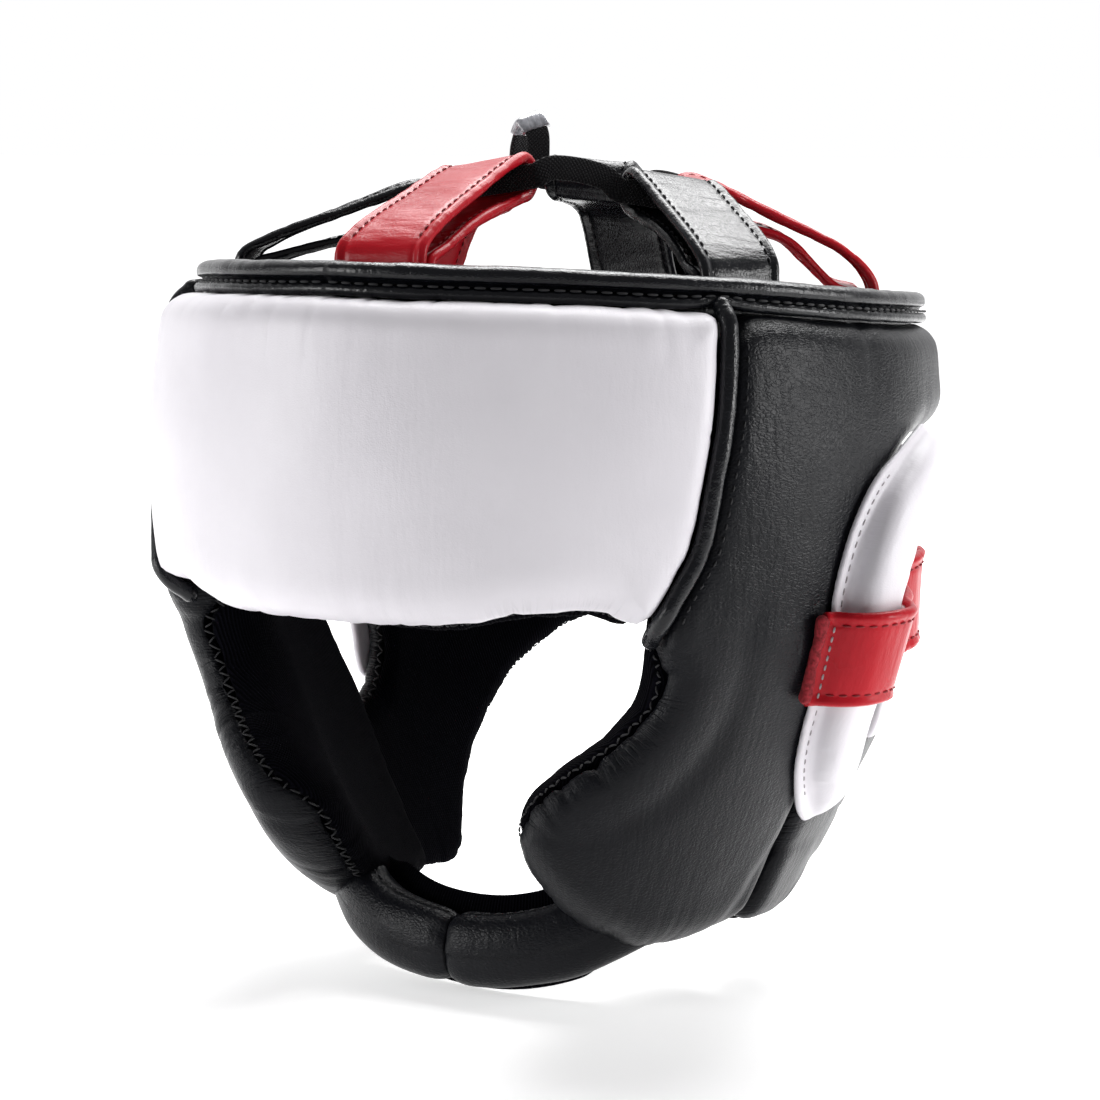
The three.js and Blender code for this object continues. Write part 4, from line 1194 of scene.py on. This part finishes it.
def ear_roll(name, rows, side, wall, seed, flange, voxel=0.75):
    """A stuffed roll that rises from a thin stitched flange at its front edge."""
    body, foot = Outline(roll_edges(rows, flange), 1.6, 1.2), Outline(roll_edges(rows, 0), 1.2, 1.2)
    height_at = through(rows, "z", "height")
    low, high = foot.line.min(axis=0) - 3, foot.line.max(axis=0) + 3
    width, height = (np.arange(a, b, voxel) for a, b in zip(low, high))
    depth = np.arange(-rows["height"].max() - 4, 3, voxel)
    grid = np.stack(np.meshgrid(width, height, indexing="ij"), axis=-1)
    flat = grid.reshape(-1, 2)
    shape = (len(width), len(height), 1)
    body_edge = body.nearest(flat)[0].reshape(shape)
    foot_edge = foot.nearest(flat)[0].reshape(shape)
    tall = height_at(grid[..., 1])[..., None]
    level = depth[None, None, :]

    def slab(edge, top, radius):
        return rounded_slab(edge, np.abs(level + top / 2) - top / 2, radius)

    stuffed = slab(body_edge, tall, np.minimum(0.48 * tall, 5.2))
    sheet = slab(foot_edge, 2.2, 0.9)
    field = -smooth_max(-stuffed, -sheet, 2.4)
    points, quads = surface_net(field, (width, height, depth))
    points = relax(points, quads, 2)
    world = unrolled_point(*points[:, :2].T, points[:, 2] - 0.4, wall, side)
    quads = quads[:, ::-1] if side > 0 else quads
    out = normals(world, quads)
    rear = smoothstep(body.nearest(points[:, :2])[0], -9, -1) * smoothstep(points[:, 2], -1.5, -4)
    folds = np.clip(noise(points * [0.35, 1, 0.5], 3.2, seed), 0, 1) * rear
    sink = 0.5 * folds + 0.18 * noise(world, 14, seed + 1)
    world = world - sink[:, None] * out
    line, inward, _ = foot.points(1.0)
    if flange:
        middle = through(rows, "z", "station")(line[:, 1]) * MM_PER_DEGREE
        clear_of_ends = (line[:, 1] > rows["z"].min() + 4) & (line[:, 1] < rows["z"].max() - 6)
        on_front = (line[:, 0] < middle) & clear_of_ends
        spots = line[on_front] + inward[on_front] * 2.3
        spots = spots[np.argsort(-spots[:, 1])]
        thread_line, lifted = (unrolled_point(*spots.T, depth, wall, side) for depth in (-2.62, -3.62))
        grey_stitches.row(thread_line, unit(lifted - thread_line), 1.9, 1.3, 0.24, 0.12, 0.1)
    return add_mesh(name, world, quads, points[:, :2], WHITE)


for name, side in SIDES:
    roll = ear_roll(f"ear_cushion_front_{name}", EAR_ROLL_FRONT, side, lambda z: 0 * z, 131 + side, FLANGE)
    settle(roll, "white_leather", f"ear_roll_front_{name}", fill=0.9)
    roll = ear_roll(f"ear_cushion_rear_{name}", EAR_ROLL_REAR, side, back_inset, 141 + side, 0)
    settle(roll, "white_leather", f"ear_roll_rear_{name}", fill=0.8)


def strap_lines(side, count):
    """Middle line of an ear strap, and its width axis at each point."""
    levels = []
    for up in (EAR_STRAP_HEIGHT / 2, 0, -EAR_STRAP_HEIGHT / 2):
        z = EAR_STRAP_MID + up + EAR_STRAP["rise"]
        wall = back_inset(z) * smoothstep(EAR_STRAP["station"], 91, 101)
        level = shell_point(EAR_STRAP["station"], z, wall - EAR_STRAP["lift"]) * [side, 1, 1]
        levels.append(spline(level, count))
    return levels[1], unit(levels[0] - levels[2])


def strap_mesh(name, line, across, out, profile, material, seed, wrinkle):
    """A strap with turned edges and fine wrinkles across it."""
    vertices, faces = sweep(line, across, out, profile)
    surface = sweep_surface(line, profile, len(vertices))
    sides = len(profile)
    rings = sides * len(line)
    skin = np.repeat(out, sides, axis=0)
    above = np.sign(((vertices[:rings] - np.repeat(line, sides, axis=0)) * skin).sum(axis=1))
    length, round_ = surface[:rings].T
    folds = noise(np.column_stack([length, 0.3 * round_]), 2.6, seed)
    slow = noise(np.column_stack([length, 0.6 * round_]), 9.0, seed + 1)
    push = wrinkle * (np.clip(folds, -1, 0.2) + 0.8 * slow)
    vertices[:rings] += skin * (push * above)[:, None]
    return add_mesh(name, vertices, faces, surface, material)


def stitch_strap(stitches, line, across, out, width, leather_half, inset, faces, trim, **form):
    """Stitch rows along both edges of a strap, on the faces that show, between two shares of its length."""
    first, last = int(trim[0] * len(line)), int(trim[1] * len(line))
    for edge in (1, -1):
        for face in faces:
            offset = across * edge * (width / 2 - inset) + out * face * leather_half
            stitches.row((line + offset)[first:last], (out * face)[first:last], **form)


STRAP_LEATHER = 2.2
for name, side in SIDES:
    line, across = strap_lines(side, 110)
    along = tangents(line)
    out = unit(np.cross(along, across)) * side
    out = out * np.sign((out * from_axis(line)).sum(axis=1).mean())
    profile = strap_profile(EAR_STRAP_HEIGHT, STRAP_LEATHER, 0.55, 3.6)
    strap = strap_mesh(f"ear_band_{name}", line, across, out, profile, RED, 151 + side, 0.16)
    settle(strap, "red_leather", f"ear_strap_{name}")
    stitch_strap(
        red_stitches, line, across, out, EAR_STRAP_HEIGHT, STRAP_LEATHER / 2, 3.6, (1,), (0.06, 0.97),
        length=2.3, gap=1.3, radius=0.3,
    )
    up = np.linspace(-EAR_STRAP_HEIGHT / 2 + 2, EAR_STRAP_HEIGHT / 2 - 2, 30)
    for end in (4, -5):
        column = line[end] + across[end] * up[:, None] + out[end] * (STRAP_LEATHER / 2 + 0.05)
        grey_stitches.row(column, np.broadcast_to(out[end], column.shape), 1.7, 1.0, 0.3)
    up = np.linspace(-EAR_STRAP_HEIGHT / 2 + 0.8, EAR_STRAP_HEIGHT / 2 - 0.8, 46)
    raw_line = line[0] + across[0] * up[:, None] + out[0] * 0.2 - along[0] * 0.6
    raw = tube(f"ear_band_raw_end_{name}", raw_line, 1.55, RAW_RED, 161 + side, wobble=0.5, taper=0.05)
    settle(raw, "red_leather")


# Crown loops and lace

def loop_places(i):
    """Where a loop is sewn on, where the lace runs in it, and its width axis at both places."""
    station, lace_station = LOOPS["station"][i], LOOPS["lace"][i]
    near_station = near_side(station)
    foot_z = rim_z(near_station) - LOOP_FOOT_DROP
    depth = rim_inset(near_station) + LOOP_SEAT
    before, foot, after = (shell_point(station + step, foot_z, depth) for step in (-2, 0, 2))
    foot_axis = unit(after - before)
    angle, radius = math.radians(lace_station), LOOPS["radius"][i]
    lace = np.array([radius * math.sin(angle), CROWN_CENTRE_Y - radius * math.cos(angle), LOOPS["lace_z"][i]])
    inward = (lace - foot) * [1, 1, 0]
    run = np.linalg.norm(inward)
    inward = inward / run
    lace_axis = unit(np.array([inward[1], -inward[0], LOOPS["tilt"][i] / LOOP_WIDTH]))
    return foot, foot_axis, lace, lace_axis, inward, run


def loop_line(i, count):
    """Middle line of a doubled loop, from the rim over the lace and back, and its width axis."""
    foot, foot_axis, lace, lace_axis, inward, run = loop_places(i)
    at = lambda distance, z: np.append((foot + inward * distance)[:2], z)
    centre = run + LACE_THICK / 2
    high, low = lace[2] + LOOP_FOLD_RADIUS, lace[2] - LOOP_FOLD_RADIUS
    climb = lambda share: foot[2] + (high - foot[2]) * share
    turn = np.radians(np.linspace(90, -90, 7))
    bend = LOOP_FOLD_RADIUS * np.column_stack([np.cos(turn), np.sin(turn)])
    fold = [at(centre + onward, lace[2] + up) for onward, up in bend]
    upper = [at(0, foot[2]), at(1, foot[2] + 6), at(0.15 * run, climb(0.4)), at(0.55 * run, climb(0.7))]
    lower = [at(0.55 * run, low - 5), at(0.25 * run, foot[2] + 6), at(5, foot[2] + 3), at(4, foot[2])]
    line = spline(upper + fold + lower, count)
    share = np.sin(np.pi * np.linspace(0, 1, count))[:, None]
    return line, unit(foot_axis * (1 - share) + lace_axis * share)


for i, name in enumerate(LOOP_NAMES):
    line, across = loop_line(i, 118)
    along = tangents(line)
    out = unit(np.cross(along, across))
    across = np.cross(out, along)
    out = out * (1 if out[20, 2] > 0 else -1)
    profile = strap_profile(LOOP_WIDTH, LOOP_LEATHER, 0.5, 3.4)
    if LOOPS["red"][i]:
        colour, slot, stitches = RED, "red_leather", red_stitches
    else:
        colour, slot, stitches = SMOOTH_BLACK, "black_leather", black_stitches
    strap = strap_mesh(f"crown_strap_{name}", line, across, out, profile, colour, 171 + i, 0.2)
    settle(strap, slot, f"crown_loop_{name}")
    stitch_strap(
        stitches, line, across, out, LOOP_WIDTH, LOOP_LEATHER / 2, 3.4, (1, -1), (0.07, 0.93),
        length=2.2, gap=1.1, radius=0.27,
    )


LACE_STRAIGHT = (-16.5, -12, 0, 12, 16.5)
LACE_ARCH = table("share rise", (0.15, 0.7), (0.5, 1), (0.85, 0.7))
LACE_STEPS = 700


def lace_points():
    """Control points of the lace: straight through each loop, with an arch between each loop and the next."""
    places = [loop_places(i) for i in range(len(LOOP_NAMES))]
    along = lambda place, distance: place[2] + place[3] * distance
    points = []
    for i, place in enumerate(places):
        points += [along(place, distance) for distance in LACE_STRAIGHT]
        start, end = along(place, LACE_STRAIGHT[-1]), along(places[(i + 1) % len(places)], LACE_STRAIGHT[0])
        for share, rise in zip(LACE_ARCH["share"], LACE_ARCH["rise"]):
            points.append(start + (end - start) * share + UP * rise * LOOPS["spring"][i])
    return np.array(points)


def carried_axis(along, stops):
    """Width axis of a ribbon: upright at each stop and carried along the line between stops."""
    count = len(along)
    axis = np.zeros_like(along)
    square = lambda up, tangent: unit(up - (up @ tangent) * tangent)
    for first, last in zip(stops, stops[1:] + [stops[0] + count]):
        span = np.arange(first, last + 1)
        carried = [square(UP, along[first])]
        for k in span[1:]:
            carried.append(square(carried[-1], along[k % count]))
        upright, tangent = square(UP, along[last % count]), along[last % count]
        twist = math.atan((upright @ np.cross(tangent, carried[-1])) / (upright @ carried[-1]))
        turn = twist * smoothstep(span, first, last)[:, None]
        carried = np.array(carried)
        aside = np.cross(along[span % count], carried)
        axis[span % count] = np.cos(turn) * carried + np.sin(turn) * aside
    return axis


def lace_frames():
    """Line, width axis and outward axis of the lace, from its joint at the rear and round to it again."""
    points = lace_points()
    line = spline(points, LACE_STEPS, closed=True)
    along = tangents(line, closed=True)
    nearest = lambda point: int(np.linalg.norm(line - point, axis=1).argmin())
    per_loop = len(LACE_STRAIGHT) + len(LACE_ARCH["share"])
    axis = carried_axis(along, [nearest(points[i * per_loop + 2]) for i in range(len(LOOP_NAMES))])
    joint = nearest(points[LOOP_NAMES.index("rear") * per_loop + len(LACE_STRAIGHT) + 1])
    line, along, axis = (np.roll(rows, -joint, axis=0) for rows in (line, along, axis))
    for k in range(1, len(axis)):
        axis[k] *= 1 if axis[k] @ axis[k - 1] > 0 else -1
    front_tape = (nearest(points[len(LACE_STRAIGHT) + 1]) - joint) % LACE_STEPS
    return line, axis, np.cross(along, axis), front_tape


lace_line, lace_up, lace_out, front_tape = lace_frames()
lace_section = section(LACE_TALL / 2, LACE_THICK / 2, 28, (0.55, 0.55))
lace_band = strap_mesh("lace_band", lace_line, lace_up, lace_out, lace_section, LACE, 191, 0.06)
settle(lace_band, "lace", "crown_lace")


def tape_sleeve(name, node, middle, reach, spare, material):
    """A clear sleeve round the lace, a little wider than it."""
    span = np.arange(middle - reach, middle + reach + 1) % LACE_STEPS
    line, up = lace_line[span], lace_up[span].copy()
    for k in range(1, len(up)):
        up[k] *= 1 if up[k] @ up[k - 1] > 0 else -1
    out = np.cross(tangents(line), up)
    outer = section(LACE_TALL / 2 + spare, LACE_THICK / 2 + 0.55, 32, (0.4, 0.4))
    vertices, faces = sweep(line, up, out, outer)
    surface = sweep_surface(line, outer, len(vertices))
    return settle(add_mesh(name, vertices, faces, surface, material), "clear_tape", node)


tape_sleeve("tape_sleeve_front", "lace_tape_front", front_tape, 12, 0.6, DARK_TAPE)
tape_sleeve("tape_sleeve_rear", "lace_tape_rear", 0, 12, 0.9, PALE_GLARE_TAPE)


# Chin bar

def chin_line(count):
    rows = np.column_stack([CHIN["x"], CHIN["y"], CHIN["z"]])
    whole = np.concatenate([rows[:0:-1] * [-1, 1, 1], rows])
    return spline(whole, count)


def chin_frames(line, side):
    """Directions along a line of the chin bar, to its front and up from it."""
    along = tangents(line)
    out = unit(np.column_stack([along[:, 1], -along[:, 0], np.zeros(len(line))])) * side
    up = unit(np.cross(out, along))
    return along, out, up * np.sign(up[:, 2:])


def chin_bar(name, side, seed):
    """Half of the under-chin bar: a stuffed roll, pinched and puckered at the middle seam."""
    half, kept, sides = 120, 112, 72
    whole = chin_line(2 * half + 1)
    line = (whole[half:] if side > 0 else whole[half::-1])[:kept]
    along, out, up = chin_frames(line, side)
    arc = np.concatenate([[0], np.cumsum(np.linalg.norm(np.diff(line, axis=0), axis=1))])
    pinch = np.sqrt(1 - np.clip(1 - arc / CHIN_PINCH, 0, 0.985) ** 2)
    around = section(CHIN_HALF_DEEP, CHIN_HALF_TALL, sides, (0.9, 0.9))
    size = 0.80 + 0.20 * pinch
    line = line + along * 0.35
    vertices, faces = sweep(line, out, up, around[None] * size[:, None, None])
    surface = sweep_surface(line, around, len(vertices))
    reach = np.repeat(arc, sides)
    turn = np.tile(np.linspace(0, 2 * np.pi, sides, endpoint=False), len(line))
    at_seam = 0.5 * pucker(turn * CHIN_MEAN_RADIUS, reach, 5.5, seed)
    from_top = np.abs(np.angle(np.exp(1j * (turn - np.pi / 2)))) * CHIN_MEAN_RADIUS
    groove = 0.6 * np.exp(-((from_top / 1.2) ** 2))
    push = 0.35 * noise(vertices[: len(turn)], 12, seed + 6) - at_seam - groove
    top_line = line + up * (CHIN_HALF_TALL - 0.2) * size[:, None]
    black_stitches.row(top_line[4:], up[4:], 2.1, 1.3, 0.3, 0.2, 0.3)
    return add_mesh(name, swollen(vertices, line, push), faces, surface, BLACK)


for name, side in SIDES:
    cushion = chin_bar(f"chin_cushion_{name}", side, 201 + side * 10)
    settle(cushion, "black_leather", f"chin_bar_{name}", fill=0.8)


def chin_lining():
    """Ribbed band behind the bar, a little taller than it and lower towards its ends."""
    line = chin_line(150)
    _, out, up = chin_frames(line, 1)
    inset = line - out * (CHIN_HALF_DEEP + 1.4)
    share = np.linspace(0, 1, len(line))
    size = 0.35 + 0.65 * smoothstep(np.minimum(share, 1 - share), 0.02, 0.22)
    profile = section(1.6, 13.5, 40)
    tapered = np.column_stack([np.ones(len(line)), size])
    vertices, faces = sweep(inset, out, up, profile[None] * tapered[:, None])
    surface = sweep_surface(inset, profile, len(vertices))
    return add_mesh("chin_inside", vertices, faces, surface, LINING)


settle(chin_lining(), "lining", "chin_lining", fill=0.5)

black_stitches.finish("stitches_black", BLACK_THREAD, "black_leather")
red_stitches.finish("stitches_red", RED_THREAD, "red_leather")
grey_stitches.finish("stitches_grey", GREY_THREAD, "white_leather")


# Camera, light and floor

AZIMUTH = math.radians(32.5)
CAMERA_DISTANCE = 850
CAMERA_HEIGHT = 38
STUDIO_FRONT = (math.sin(AZIMUTH), -math.cos(AZIMUTH))  # open side of the studio, across from its bright wall
SENSOR_WIDTH = 36
FOCAL_PIXELS = 2975
FRAME_PIXELS = 1100
CENTRE_SHIFT_PIXELS = 5
PITCH_PIXELS = 407


def add_camera():
    data = bpy.data.cameras.new("camera")
    data.sensor_width = SENSOR_WIDTH
    data.lens = SENSOR_WIDTH * FOCAL_PIXELS / FRAME_PIXELS
    data.clip_start = 0.01
    camera = bpy.data.objects.new("camera", data)
    bpy.context.scene.collection.objects.link(camera)
    x, y = (CAMERA_DISTANCE * part for part in STUDIO_FRONT)
    camera.location = Vector((x, y, CAMERA_HEIGHT)) * MM
    pitch = math.atan(PITCH_PIXELS / FOCAL_PIXELS)
    yaw = AZIMUTH + math.atan(CENTRE_SHIFT_PIXELS / FOCAL_PIXELS)
    camera.rotation_euler = (math.pi / 2 - pitch, 0, yaw)
    bpy.context.scene.camera = camera


def add_area(name, place, target, size, power):
    data = bpy.data.lights.new(name, "AREA")
    data.shape = "RECTANGLE"
    data.size, data.size_y = size
    data.energy = power
    light = bpy.data.objects.new(name, data)
    bpy.context.scene.collection.objects.link(light)
    light.location = place
    light.rotation_euler = (Vector(target) - Vector(place)).to_track_quat("-Z", "Y").to_euler()


def add_floor():
    """A plain pale floor that runs into the bright wall behind the object."""
    mesh = bpy.data.meshes.new("floor")
    z = cad_low[2] - 0.0005
    reach = 40.0
    corners = [(-reach, -reach, z), (reach, -reach, z), (reach, reach, z), (-reach, reach, z)]
    mesh.from_pydata(corners, [], [(0, 1, 2, 3)])
    floor = bpy.data.objects.new("floor", mesh)
    bpy.context.scene.collection.objects.link(floor)
    pale, white = (0.9, 0.9, 0.9, 1), (1, 1, 1, 1)
    shader = Shader("floor", Base_Color=pale, Roughness=0.95, Specular_IOR_Level=0.0, Emission_Color=white)
    towards = shader.towards(shader.object_place(), (*STUDIO_FRONT, 0))
    shader.link("Emission Strength", shader.ramp(towards, (-0.1, 0.85), (0.3, 0.02)))
    mesh.materials.append(shader.material)


def add_world():
    """A bright studio wall behind the object, and dim walls all round."""
    world = bpy.data.worlds.new("studio")
    bpy.context.scene.world = world
    nodes = Nodes(world)
    direction = nodes.add("ShaderNodeTexCoord").outputs["Generated"]
    towards = nodes.towards(direction, (*STUDIO_FRONT, -0.25))
    strength = nodes.ramp(towards, (-0.86, 1.0), (-0.35, 0.2), interpolation_type="SMOOTHSTEP")
    background = nodes.tree.nodes["Background"]
    nodes.tree.links.new(strength, background.inputs["Strength"])
    background.inputs["Color"].default_value = (1.0, 1.0, 1.01, 1)


add_camera()
add_floor()
add_world()
add_area("key", (-1.4, -1.7, 0.35), (0, 0, -0.08), (0.9, 0.9), 22)
add_area("top", (-0.2, 0.75, 1.1), (0, 0, 0), (1.3, 0.9), 32)
add_area("side", (1.7, 0.75, 0.3), (0, 0, -0.05), (0.6, 0.9), 20)
bpy.context.scene.view_settings.view_transform = "Standard"
